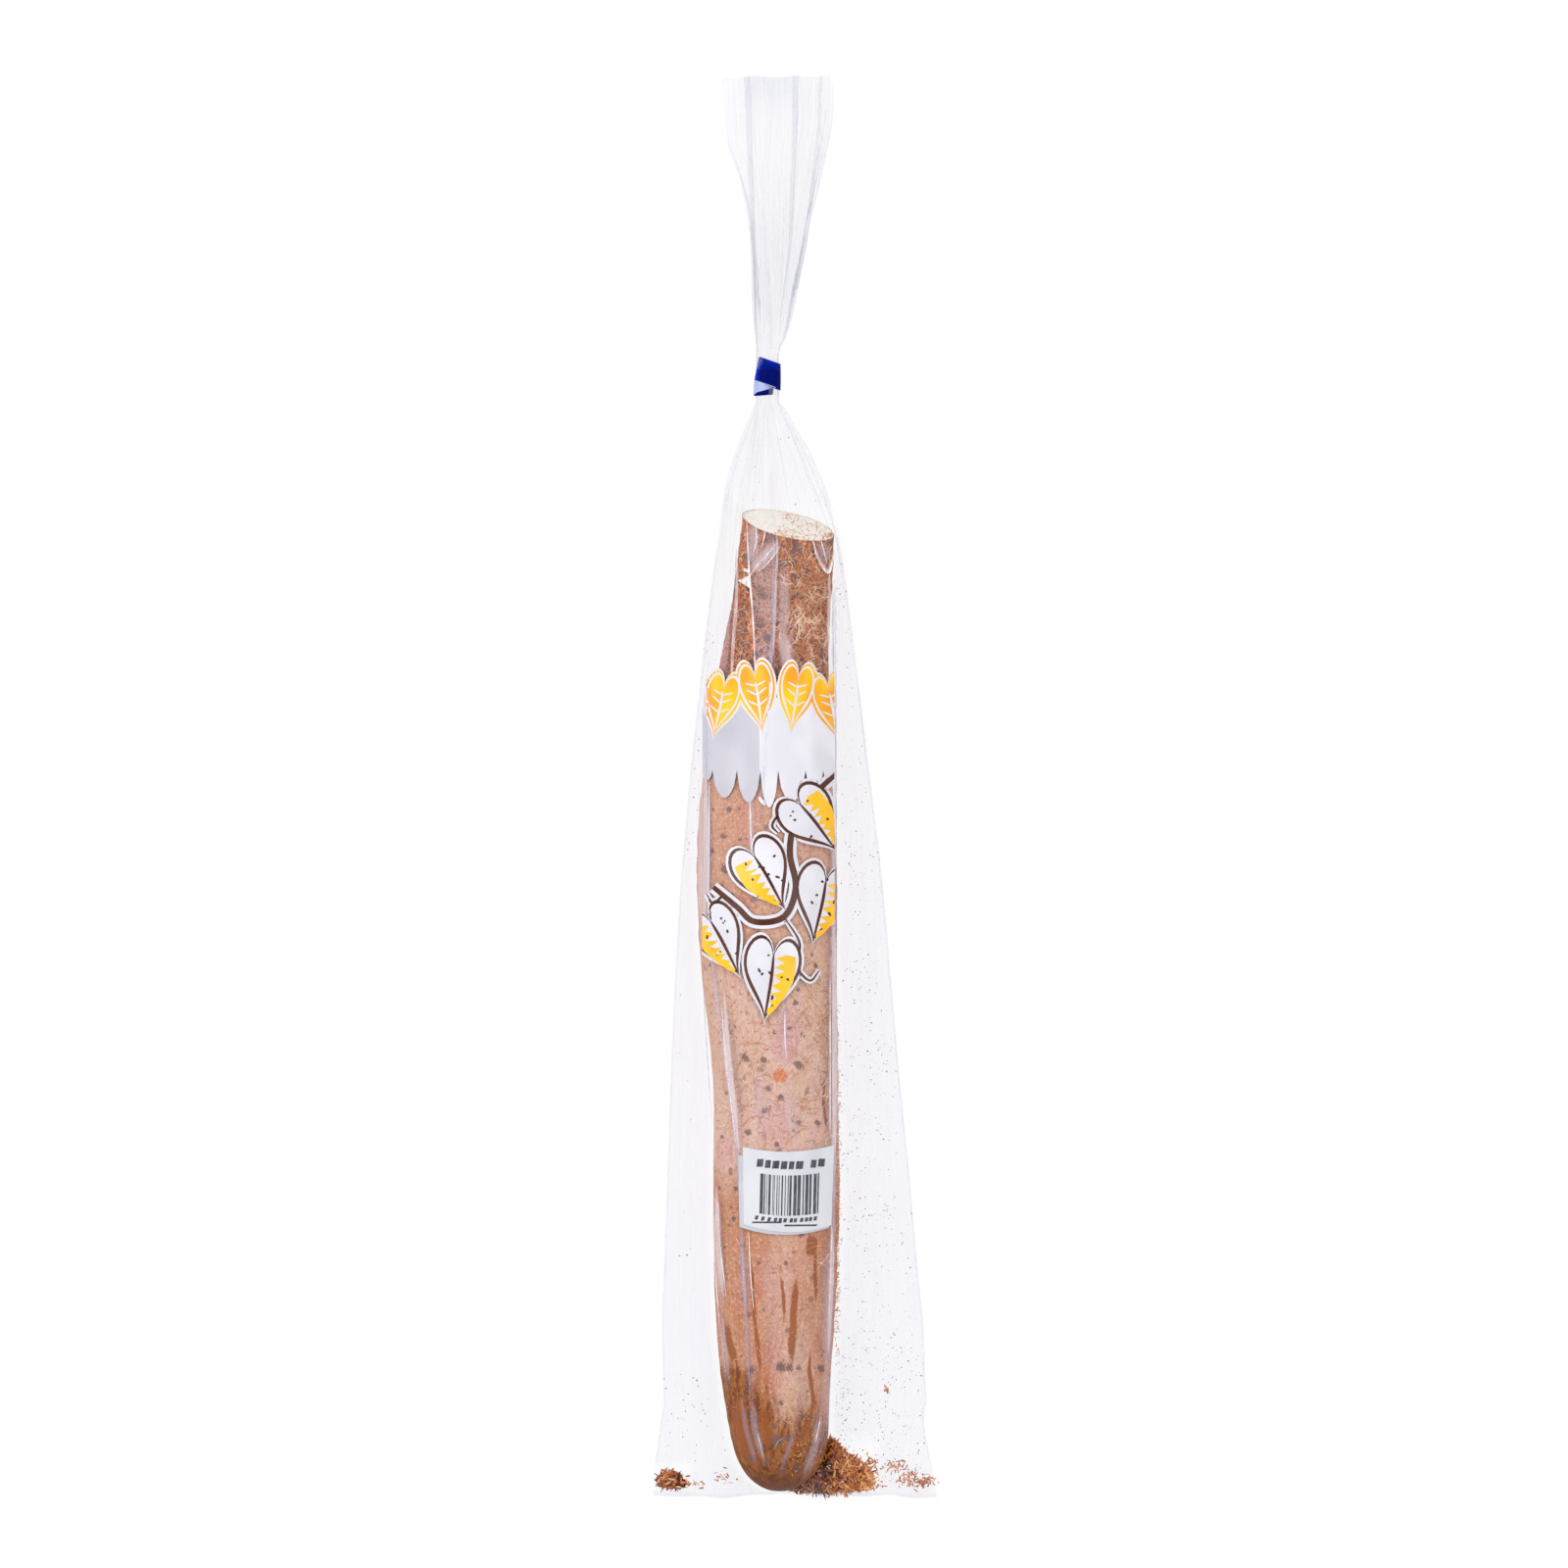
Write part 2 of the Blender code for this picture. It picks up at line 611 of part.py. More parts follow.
def build_heap(name, heap, material):
    """A small heap of sawdust: a lumpy mound with chips standing out of it, fused into one solid."""
    draw = random.Random(heap["seed"])
    outline = [Vector(p) * MM for p in heap["outline"]]
    middle = Vector(heap["middle"]) * MM
    bm = bmesh.new()
    rings, places = [], []
    for share, rise in HEAP_RINGS:
        ring = []
        for k in range(HEAP_SIDES):
            angle = math.tau * k / HEAP_SIDES
            rough = 1 + HEAP_ROUGHNESS * draw.uniform(-1, 1) * (rise > 0)
            flat = middle + Vector((math.cos(angle), math.sin(angle))) * reach(outline, middle, angle) * share
            point = Vector((flat.x, flat.y, SAWDUST_BASE_Z + heap["height"] * rise * rough))
            ring.append(bm.verts.new(point))
            if 0 < rise:
                places.append(point)
        rings.append(ring)
    for first, second in zip(rings, rings[1:]):
        bridge(bm, first, second)
    fan(bm, rings[-1], bm.verts.new((middle.x, middle.y, SAWDUST_BASE_Z + heap["height"])))
    fan(bm, rings[0], bm.verts.new((middle.x, middle.y, SAWDUST_BASE_Z)))
    bmesh.ops.triangulate(bm, faces=bm.faces)
    mound = add_object(name, bm, material)
    chips = bpy.data.collections.new(name + " chips")
    for place in draw.sample(places, heap["chips"]):
        inward = place.lerp(Vector((middle.x, middle.y, SAWDUST_BASE_Z + heap["height"] * 0.5)), 0.22)
        bm = bmesh.new()
        build_chip(bm, inward, heap["chip_length"] * draw.uniform(0.75, 1.1), draw)
        sunk = min(vertex.co.z for vertex in bm.verts) - SAWDUST_BASE_Z - CHIP_CLEARANCE
        bmesh.ops.translate(bm, verts=bm.verts, vec=(0, 0, max(-sunk, 0)))
        chip = add_object(name + " chip", bm, material)
        bpy.context.scene.collection.objects.unlink(chip)
        chips.objects.link(chip)
    bpy.context.scene.collection.children.link(chips)
    union = mound.modifiers.new("chips", "BOOLEAN")
    union.operation = "UNION"
    union.operand_type = "COLLECTION"
    union.collection = chips
    bpy.context.view_layer.objects.active = mound
    bpy.ops.object.modifier_apply(modifier=union.name)
    for chip in list(chips.objects):
        bpy.data.objects.remove(chip)
    bpy.data.collections.remove(chips)
    keep_largest_shell(mound.data)
    return mound


def film_surface(bag):
    """The bag's surface, for laying stickers on it."""
    bm = bmesh.new()
    bm.from_mesh(bag.data)
    tree = BVHTree.FromBMesh(bm)
    bm.free()
    return tree


def main():
    """Clears the scene and builds every piece."""
    for obj in list(bpy.data.objects):
        bpy.data.objects.remove(obj)
    build_yam()
    bag = build_bag()
    build_tape()
    film = film_surface(bag)
    paper = finish("white sticker", (0.88, 0.88, 0.90), 0.45)
    build_sticker("sticker_upper", UPPER_STICKER, film, paper)
    build_sticker("sticker_lower", LOWER_STICKER, film, paper)
    sawdust = finish("sawdust", (0.52, 0.24, 0.10), 0.9)
    build_heap("sawdust_by_tip", TIP_HEAP, sawdust)
    build_heap("sawdust_left", LEFT_HEAP, sawdust)
    build_heap("sawdust_corner", CORNER_HEAP, sawdust)


main()
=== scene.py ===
"""The looks of a Japanese mountain yam in its tied bag of clear film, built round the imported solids.

Everything is in metres in the row's frame: the tuber lies along Y with its rounded tip at -Y, the camera
looks straight down, and the surface it lies on is Z = 0. Places taken from the photograph are given in
its pixels and turned into metres by `seen`.
"""

import logging
import math
import random
from collections.abc import Callable, Iterable, Sequence
from dataclasses import dataclass, field
from enum import Enum

import bmesh
import bpy
import numpy as np
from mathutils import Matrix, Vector, noise
from mathutils.bvhtree import BVHTree
from mathutils.geometry import convex_hull_2d, delaunay_2d_cdt


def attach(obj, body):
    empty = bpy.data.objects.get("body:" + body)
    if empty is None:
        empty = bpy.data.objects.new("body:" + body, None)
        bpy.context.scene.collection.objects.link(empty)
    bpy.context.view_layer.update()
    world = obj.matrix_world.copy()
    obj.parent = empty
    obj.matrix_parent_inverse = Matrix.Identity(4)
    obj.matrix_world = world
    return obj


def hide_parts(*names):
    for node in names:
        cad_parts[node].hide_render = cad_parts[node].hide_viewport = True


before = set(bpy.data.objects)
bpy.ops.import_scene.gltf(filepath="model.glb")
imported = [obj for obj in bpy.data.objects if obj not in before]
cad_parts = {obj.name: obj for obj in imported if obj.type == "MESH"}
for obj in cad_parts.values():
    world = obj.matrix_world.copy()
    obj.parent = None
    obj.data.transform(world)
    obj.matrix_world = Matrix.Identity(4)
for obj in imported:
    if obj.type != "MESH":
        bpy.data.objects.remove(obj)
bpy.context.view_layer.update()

LOG = logging.getLogger("yam")
BODY = "root"

MM = 0.001
PIXEL = 0.415 * MM
MIDDLE_PIXEL_X = 811.5
MIDDLE_PIXEL_Y = 803.0
IMAGE_PIXELS = 1600

Array = np.ndarray
Colour = tuple[float, float, float]
Draw = random.Random
Height = Callable[[float, float], float]
Material = bpy.types.Material
Outline = list[tuple[float, float]]
Path = Sequence[tuple[float, float]]
Piece = bpy.types.Object
Rows = Sequence[Sequence[float]]
Socket = bpy.types.NodeSocket
Tint = Socket | Colour
Value = Socket | float


def seen(across: float, down: float) -> tuple[float, float]:
    """A place in the photograph as x and y in the row's frame.

    Args:
        across: Pixels from the photograph's left edge.
        down: Pixels from its top edge.

    Returns:
        x and y in metres.
    """
    return (across - MIDDLE_PIXEL_X) * PIXEL, (MIDDLE_PIXEL_Y - down) * PIXEL


def eased(low: float, high: float, at: Array | float) -> Array | float:
    """0 below low and 1 above high, with no slope at either end.

    Args:
        low: Where the rise starts.
        high: Where it ends. It may be below low, for a fall.
        at: The values to judge.

    Returns:
        The share of the rise, of the same kind as at.
    """
    t = np.clip((at - low) / (high - low), 0, 1)
    return t * t * (3 - 2 * t)


def ramp(low: float, high: float, at: Array | float) -> Array | float:
    """As eased, with its ends in millimetres."""
    return eased(low * MM, high * MM, at)


def smooth_table(rows: Rows, at: Array) -> list[Array]:
    """Reads a station table at many places, along smooth curves through its rows.

    Args:
        rows: Each row is a place along the table and its values, in millimetres.
        at: The places to read, in metres.

    Returns:
        One array for each value column, in metres.
    """
    table = np.array(rows, float) * MM
    key = table[:, 0]
    at = np.clip(at, key[0], key[-1])
    i = np.clip(np.searchsorted(key, at, side="right") - 1, 0, len(key) - 2)
    before, after = np.maximum(i - 1, 0), np.minimum(i + 2, len(key) - 1)
    span = key[i + 1] - key[i]
    t = (at - key[i]) / span
    columns = []
    for values in table.T[1:]:
        start = (values[i + 1] - values[before]) / (key[i + 1] - key[before]) * span
        end = (values[after] - values[i]) / (key[after] - key[i]) * span
        columns.append(
            values[i] * (1 + 2 * t) * (1 - t) ** 2
            + start * t * (1 - t) ** 2
            + values[i + 1] * t * t * (3 - 2 * t)
            + end * t * t * (t - 1)
        )
    return columns


def table_row(rows: Rows, at: float) -> list[float]:
    """As smooth_table, for one place."""
    return [float(value) for value in smooth_table(rows, np.array(at))]


def swell(points: Array, lengths: tuple[float, float, float], seed: float = 0.0) -> Array:
    """Smooth noise from -1 to 1 at many points.

    Args:
        points: An array whose last axis is x, y and z.
        lengths: The size of the swells along each axis, in metres.
        seed: Shifts the pattern.

    Returns:
        An array with one value for each point.
    """
    scaled = points.reshape(-1, 3) / np.array(lengths) + seed * 7.31
    values = [noise.noise(Vector(p)) for p in scaled]
    return np.array(values).reshape(points.shape[:-1])


def near_path(x: Array, y: Array, path: Path) -> tuple[Array, Array]:
    """How far points are from a path in plan, and how far along it they are.

    Args:
        x: The points' x, in metres.
        y: Their y.
        path: The path's corners, as photo pixels.

    Returns:
        The distance of each point from the path, in metres, and its share of the path's length.
    """
    corners = [seen(*corner) for corner in path]
    lengths = [math.dist(a, b) for a, b in zip(corners, corners[1:])]
    best, along, passed = np.full(np.shape(x), 1e9), np.zeros(np.shape(x)), 0.0
    for (ax, ay), (bx, by), length in zip(corners, corners[1:], lengths):
        dx, dy = bx - ax, by - ay
        share = np.clip(((x - ax) * dx + (y - ay) * dy) / (dx * dx + dy * dy), 0, 1)
        away = np.hypot(x - ax - share * dx, y - ay - share * dy)
        along = np.where(away < best, (passed + share * length) / sum(lengths), along)
        best = np.minimum(best, away)
        passed += length
    return best, along


def soft_band(x: Array, y: Array, path: Path, half: float, taper: float) -> Array:
    """A band along a path, from 1 on the path to 0 beside it, that fades and narrows at its ends.

    Args:
        x: The points' x, in metres.
        y: Their y.
        path: The path's corners, as photo pixels.
        half: The band's half width, in metres.
        taper: The share of its length over which it fades at each end.

    Returns:
        The band's strength at each point.
    """
    away, along = near_path(x, y, path)
    fade = eased(0, taper, along) * eased(1, 1 - taper, along)
    reach = half * (0.45 + 0.55 * fade)
    return eased(reach * 1.5, reach * 0.45, away) * (0.15 + 0.85 * fade) * (away < reach * 1.5)


class Bench:
    """A place to put a material together, node by node."""

    def __init__(self, name: str) -> None:
        """Starts a material with one Principled shader."""
        self.material = bpy.data.materials.new(name)
        self.material.use_nodes = True
        self.tree = self.material.node_tree
        self.shader = self.tree.nodes["Principled BSDF"]
        self.here = self.tree.nodes.new("ShaderNodeTexCoord").outputs["Object"]

    def feed(self, socket: Socket, source: Value | Sequence[float]) -> None:
        """Links a socket, or sets its value.

        Args:
            socket: The input to feed.
            source: Another node's output, a number or a colour.
        """
        if isinstance(source, Socket):
            self.tree.links.new(source, socket)
        elif isinstance(source, (int, float)):
            socket.default_value = source
        else:
            socket.default_value = (*source, 1)[: len(socket.default_value)]

    def stretched(self, across: float = 1, along: float = 1, up: float = 1) -> Socket:
        """Object coordinates in millimetres, divided by a size along each axis.

        Args:
            across: Size along X, in millimetres.
            along: Size along Y.
            up: Size along Z.

        Returns:
            The mapped vector.
        """
        mapping = self.tree.nodes.new("ShaderNodeMapping")
        mapping.inputs["Scale"].default_value = (1 / (across * MM), 1 / (along * MM), 1 / (up * MM))
        self.feed(mapping.inputs["Vector"], self.here)
        return mapping.outputs["Vector"]

    def grain(self, where: Socket, detail: float = 3, rough: float = 0.55, warp: float = 0) -> Socket:
        """Noise from 0 to 1 over a mapped vector, one swell to each unit of it.

        Args:
            where: The mapped vector.
            detail: How many finer layers it has.
            rough: The finer layers' strength.
            warp: How far it is twisted.

        Returns:
            The noise, from 0 to 1.
        """
        node = self.tree.nodes.new("ShaderNodeTexNoise")
        node.inputs["Scale"].default_value = 1
        node.inputs["Detail"].default_value = detail
        node.inputs["Roughness"].default_value = rough
        node.inputs["Distortion"].default_value = warp
        self.feed(node.inputs["Vector"], where)
        return node.outputs["Fac"]

    def dots(self, where: Socket) -> tuple[Socket, Socket]:
        """Distance to the nearest of many scattered points, and a random colour for each.

        Args:
            where: The mapped vector.

        Returns:
            The distance and the colour.
        """
        node = self.tree.nodes.new("ShaderNodeTexVoronoi")
        node.inputs["Scale"].default_value = 1
        self.feed(node.inputs["Vector"], where)
        return node.outputs["Distance"], node.outputs["Color"]

    def painted(self, name: str) -> Socket:
        """A value stored on the mesh's points."""
        node = self.tree.nodes.new("ShaderNodeAttribute")
        node.attribute_name = name
        return node.outputs["Fac"]

    def sums(self, operation: str, first: Value, second: Value = 0.0, clamp: bool = False) -> Socket:
        """One step of arithmetic, by the name of Blender's Math operation.

        Args:
            operation: The operation's name.
            first: The first value.
            second: The second one.
            clamp: Whether the result stays from 0 to 1.

        Returns:
            The result.
        """
        node = self.tree.nodes.new("ShaderNodeMath")
        node.operation = operation
        node.use_clamp = clamp
        self.feed(node.inputs[0], first)
        self.feed(node.inputs[1], second)
        return node.outputs[0]

    def centred(self, value: Socket) -> Socket:
        """A value from 0 to 1, moved to lie about 0."""
        return self.sums("SUBTRACT", value, 0.5)

    def plus(self, first: Socket, second: Value) -> Socket:
        """The sum of two values."""
        return self.sums("ADD", first, second)

    def times(self, first: Socket, second: Value) -> Socket:
        """The product of two values."""
        return self.sums("MULTIPLY", first, second)

    def lever(self, value: Socket, factor: float, extra: Value) -> Socket:
        """A value times a number, plus another."""
        return self.plus(self.times(value, factor), extra)

    def between(self, low: float, high: float, value: Socket, start: float = 0, end: float = 1) -> Socket:
        """Maps value from low..high to start..end, smoothly and clamped.

        Args:
            low: The value that gives start.
            high: The value that gives end. It may be below low.
            value: The value to map.
            start: The result at low.
            end: The result at high.

        Returns:
            The mapped value.
        """
        node = self.tree.nodes.new("ShaderNodeMapRange")
        node.interpolation_type = "SMOOTHSTEP"
        self.feed(node.inputs["Value"], value)
        for key, number in zip(("From Min", "From Max", "To Min", "To Max"), (low, high, start, end)):
            node.inputs[key].default_value = number
        return node.outputs["Result"]

    def blend(self, share: Value, first: Tint, second: Tint) -> Socket:
        """Mixes two colours by a share.

        Args:
            share: How much of the second there is.
            first: The first colour.
            second: The second one.

        Returns:
            The mixed colour.
        """
        node = self.tree.nodes.new("ShaderNodeMix")
        node.data_type = "RGBA"
        self.feed(node.inputs["Factor"], share)
        self.feed(node.inputs["A"] if "A" in node.inputs else node.inputs[6], first)
        self.feed(node.inputs[7], second)
        return node.outputs[2]

    def stain(
        self, base: Tint, over: Tint, value: Socket, low: float, high: float, share: float = 1
    ) -> Socket:
        """Puts a colour over another where a value goes from low to high, up to a share of it."""
        return self.blend(self.between(low, high, value, 0, share), base, over)

    def relief(self, height: Socket, depth: float, strength: float = 1) -> None:
        """Adds bump to the shader.

        Args:
            height: The height pattern, from 0 to 1.
            depth: Its height in millimetres.
            strength: How much of it shows.
        """
        node = self.tree.nodes.new("ShaderNodeBump")
        node.inputs["Strength"].default_value = strength
        node.inputs["Distance"].default_value = depth * MM
        self.feed(node.inputs["Height"], height)
        if self.shader.inputs["Normal"].is_linked:
            self.feed(node.inputs["Normal"], self.shader.inputs["Normal"].links[0].from_socket)
        self.feed(self.shader.inputs["Normal"], node.outputs["Normal"])

    def dress(self, **looks: Value | Sequence[float]) -> Material:
        """Sets the shader's inputs by name, with _ for a space, and returns the material."""
        for key, source in looks.items():
            self.feed(self.shader.inputs[key.replace("_", " ")], source)
        return self.material


def make_piece(
    name: str,
    points: Rows,
    faces: Iterable[Sequence[int]],
    material: Material,
    sharp_deg: float = 50,
    paint: dict[str, Array] | None = None,
) -> Piece:
    """Makes one smooth-shaded object that rides on the part's one body.

    Args:
        name: The piece's name.
        points: Its vertices.
        faces: Its faces, as vertex numbers.
        material: Its material.
        sharp_deg: Edges that turn more than this stay sharp.
        paint: Values for each vertex, by attribute name.

    Returns:
        The new object.
    """
    mesh = bpy.data.meshes.new(name)
    mesh.from_pydata([tuple(p) for p in points], [], [tuple(f) for f in faces])
    mesh.validate()
    for key, values in (paint or {}).items():
        layer = mesh.attributes.new(key, "FLOAT", "POINT")
        layer.data.foreach_set("value", np.ascontiguousarray(values, dtype=np.float32).ravel())
    mesh.materials.append(material)
    mesh.shade_smooth()
    mesh.set_sharp_from_angle(angle=math.radians(sharp_deg))
    piece = bpy.data.objects.new(name, mesh)
    bpy.context.scene.collection.objects.link(piece)
    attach(piece, BODY)
    LOG.info("%s: %d faces", name, len(mesh.polygons))
    return piece


@dataclass
class Growing:
    """A mesh that is put together bit by bit."""

    points: list = field(default_factory=list)
    faces: list = field(default_factory=list)

    def add(self, points: Iterable, faces: Iterable) -> None:
        """Adds points and the faces that join them."""
        start = len(self.points)
        self.faces += [[start + i for i in face] for face in faces]
        self.points += points


def tube_faces(rings: int, around: int) -> list[tuple[int, int, int, int]]:
    """The faces that join rings of the same number of vertices, laid one after the other.

    Args:
        rings: How many rings there are.
        around: How many vertices each has.

    Returns:
        The faces.
    """
    faces = []
    for ring in range(rings - 1):
        low = ring * around
        for k in range(around):
            after = (k + 1) % around
            faces.append((low + k, low + after, low + around + after, low + around + k))
    return faces


@dataclass
class TuberForm:
    """The tuber's shape, shared by its skin and by the film that lies on it."""

    tip_y: float = -298.9 * MM
    tip_length: float = 26 * MM
    depth_share: float = 0.94
    underside: float = 0.85 * MM
    tip_rise: float = 0.55
    end_lift: float = 5 * MM
    lift_from: float = 300 * MM
    cut_y: float = 111 * MM
    cut_slope_x: float = -0.21
    cut_slope_z: float = -0.30
    length: float = 412 * MM
    nub_count: int = 90
    nub_height: float = 0.45 * MM
    nub_radius: float = 2.6 * MM
    # Millimetres: distance from the tip, full width, middle across the bag
    stations: Rows = (
        (0, 41.0, -6.6), (20, 41.0, -6.6), (51, 46.6, -8.4), (93, 51.9, -8.3), (134, 53.3, -8.1),
        (176, 52.9, -8.5), (217, 56.8, -10.8), (259, 58.9, -11.8), (300, 55.2, -11.8), (346, 46.5, -9.3),
        (383, 41.3, -5.4), (412, 39.0, -2.9),
    )

    def section(self, from_tip: Array) -> tuple[Array, Array, Array, Array]:
        """The tuber's cross-section at some distances from its tip.

        Args:
            from_tip: The distances, in metres.

        Returns:
            Middle across, middle height, half width and half depth.
        """
        width, middle = smooth_table(self.stations, from_tip)
        to_go = np.clip(1 - from_tip / self.tip_length, 0, 1)
        rounding = np.sqrt(1 - to_go**2)
        half_depth = width / 2 * self.depth_share
        lift = self.end_lift * eased(self.lift_from, self.length, from_tip)
        height = self.underside + lift + half_depth * (rounding + (1 - rounding) * self.tip_rise)
        return middle, height, width / 2 * rounding, half_depth * rounding

    def nubs(self) -> list[tuple[float, float]]:
        """The root scars, each as its angle round the tuber and its distance from the tip."""
        draw = random.Random(11)
        places = []
        for _ in range(self.nub_count):
            places.append((draw.uniform(0, math.tau), draw.uniform(0.02, 0.96) * self.length))
        return places

    def cut_at(self, x: Array, z: Array) -> Array:
        """Where the slanting cut meets lines along Y.

        Args:
            x: The lines' x.
            z: The lines' z.

        Returns:
            The y of the cut on each line.
        """
        middle, height, _, _ = self.section(np.array(self.cut_y - self.tip_y))
        return self.cut_y + self.cut_slope_x * (x - middle) + self.cut_slope_z * (z - height)


@dataclass(frozen=True)
class SkinFinish:
    """Tuber skin: pinkish tan in the middle, rough red-brown bark by the cut, orange-brown at the tip."""

    tan: Colour = (0.585, 0.365, 0.255)
    pink: Colour = (0.62, 0.40, 0.325)
    mauve: Colour = (0.57, 0.315, 0.29)
    ruddy: Colour = (0.41, 0.125, 0.032)
    pale: Colour = (0.84, 0.62, 0.50)
    fleck: Colour = (0.34, 0.14, 0.085)
    bark: Colour = (0.53, 0.16, 0.055)
    bark_deep: Colour = (0.30, 0.085, 0.036)
    bark_dark: Colour = (0.075, 0.024, 0.014)
    bark_light: Colour = (0.90, 0.42, 0.20)
    bark_rosy: Colour = (0.55, 0.30, 0.285)
    tip: Colour = (0.33, 0.110, 0.025)
    # The tip's dark streaks and pits, and also the colour of the painted shade
    tip_dark_and_shade: Colour = (0.150, 0.044, 0.012)
    wet: Colour = (0.28, 0.080, 0.020)
    spot: Colour = (0.16, 0.095, 0.085)
    vent: Colour = (0.53, 0.16, 0.050)
    flesh: Colour = (1.0, 0.94, 0.85)
    fibre: Colour = (0.62, 0.40, 0.20)
    # Small spots: spacing in millimetres, radius as a share of it, share of them left out, strength
    spots: Rows = ((8.5, 0.16, 0.4, 0.6), (5.0, 0.15, 0.55, 0.7), (2.4, 0.16, 0.6, 0.6))

    def material(self) -> Material:
        """Builds the skin and the cut face as one material, told apart by the value `cut`."""
        bench = Bench("tuber_skin")
        broad = bench.grain(bench.stretched(14, 40, 14), 3)
        fine = bench.grain(bench.stretched(1.15, 1.4, 1.15), 3, 0.7)
        grit = bench.grain(bench.stretched(0.75, 0.9, 0.75), 2, 0.7)
        pits = bench.grain(bench.stretched(2.1, 2.6, 2.1), 3, 0.65)
        streaky = bench.grain(bench.stretched(2.6, 15, 2.6), 3, 0.6, 0.4)
        rosy = bench.lever(bench.sums("SUBTRACT", broad, 0.44), 2.4, bench.times(bench.painted("rosy"), 0.7))
        skin = bench.stain(self.tan, self.pink, rosy, 0.0, 0.45)
        skin = bench.stain(skin, self.mauve, rosy, 0.5, 1.2)
        ruddy = bench.lever(bench.centred(broad), 1.1, bench.painted("ruddy"))
        skin = bench.stain(skin, self.ruddy, ruddy, 0.05, 0.95, 0.9)
        skin = bench.stain(skin, self.pale, fine, 0.52, 0.64, 0.34)
        skin = bench.stain(skin, self.fleck, fine, 0.46, 0.36, 0.30)
        skin = bench.stain(skin, self.fleck, pits, 0.44, 0.32, 0.30)
        skin = bench.stain(skin, self.bark, streaky, 0.58, 0.70, 0.4)
        skin = self.bark_on(bench, skin, fine, grit, pits, streaky)
        tip = bench.stain(self.tip, self.tip_dark_and_shade, streaky, 0.42, 0.60)
        tip = bench.stain(tip, (0.50, 0.22, 0.085), fine, 0.54, 0.66, 0.5)
        tip = bench.stain(tip, self.tip_dark_and_shade, pits, 0.46, 0.34, 0.6)
        skin = bench.blend(self.ragged(bench, "tip", streaky, 0.35), skin, tip)
        drips = bench.plus(bench.times(fine, 0.5), bench.times(streaky, 0.5))
        skin = bench.blend(bench.times(self.ragged(bench, "wet", drips, 1.5), 0.9), skin, self.wet)
        # Painted shade: the skin is mixed towards the dark colour where `shade` is painted
        skin = bench.blend(bench.times(bench.painted("shade"), 0.75), skin, self.tip_dark_and_shade)
        clumps = bench.lever(bench.centred(grit), 1.6, bench.painted("scar"))
        wobble = bench.times(bench.centred(fine), 0.5)
        for size, reach, share, strength in self.spots:
            distance, tint = bench.dots(bench.stretched(size, size, size))
            pick = bench.between(reach * 1.4, reach * 0.6, bench.plus(distance, wobble))
            chosen = bench.between(share, share + 0.1, tint)
            skin = bench.blend(bench.times(bench.times(pick, chosen), strength), skin, self.spot)
        skin = bench.stain(skin, self.spot, clumps, 0.26, 0.58, 0.88)
        vent = bench.stain(self.vent, (0.62, 0.25, 0.11), fine, 0.40, 0.60)
        skin = bench.blend(bench.painted("vent"), skin, vent)
        flesh_grain = bench.grain(bench.stretched(1.3, 2.6, 1.3), 5, 0.75, 0.5)
        torn = bench.lever(bench.centred(flesh_grain), 2.6, bench.painted("torn"))
        flesh = bench.stain(self.flesh, self.fibre, torn, 0.25, 0.8, 0.85)
        rim = bench.between(0.90, 1.0, bench.painted("rim"), 0, 0.35)
        flesh = bench.blend(rim, flesh, self.fibre)
        is_cut = bench.between(0.4, 0.6, bench.painted("cut"))
        colour = bench.blend(is_cut, skin, flesh)
        height = bench.plus(bench.times(fine, 0.7), bench.times(streaky, 0.4))
        bench.relief(height, 0.7)
        bench.relief(bench.times(pits, bench.painted("bark")), 1.6)
        rough = bench.between(0.2, 0.9, bench.painted("wet"), 0.7, 0.45)
        return bench.dress(Base_Color=colour, Roughness=rough, Specular_IOR_Level=0.12)

    def bark_on(
        self, bench: Bench, skin: Socket, fine: Socket, grit: Socket, pits: Socket, streaky: Socket
    ) -> Socket:
        """Puts the rough bark over the skin where the value `bark` is high.

        Args:
            bench: Where the material is made.
            skin: The colour below.
            fine: Fine grain.
            grit: Finer grain.
            pits: Coarser grain.
            streaky: Grain drawn out along the tuber.

        Returns:
            The new colour.
        """
        rough_bark = bench.stain(self.bark, self.bark_deep, streaky, 0.42, 0.58)
        rosy = bench.lever(bench.centred(streaky), 1.2, bench.painted("rosy"))
        rough_bark = bench.stain(rough_bark, self.bark_rosy, rosy, 0.2, 0.9, 0.85)
        rough_bark = bench.stain(rough_bark, self.bark_light, fine, 0.50, 0.62, 0.8)
        rough_bark = bench.stain(rough_bark, self.bark_dark, grit, 0.47, 0.38, 0.8)
        rough_bark = bench.stain(rough_bark, self.bark_dark, pits, 0.45, 0.36, 0.85)
        edge = bench.lever(bench.centred(streaky), 0.9, bench.painted("bark"))
        return bench.stain(skin, rough_bark, edge, 0.25, 0.85)

    @staticmethod
    def ragged(bench: Bench, name: str, grain: Socket, fray: float) -> Socket:
        """A painted value with its edges frayed by a grain."""
        frayed = bench.times(bench.centred(grain), fray * 2)
        return bench.between(0.3, 0.72, bench.plus(bench.painted(name), frayed))


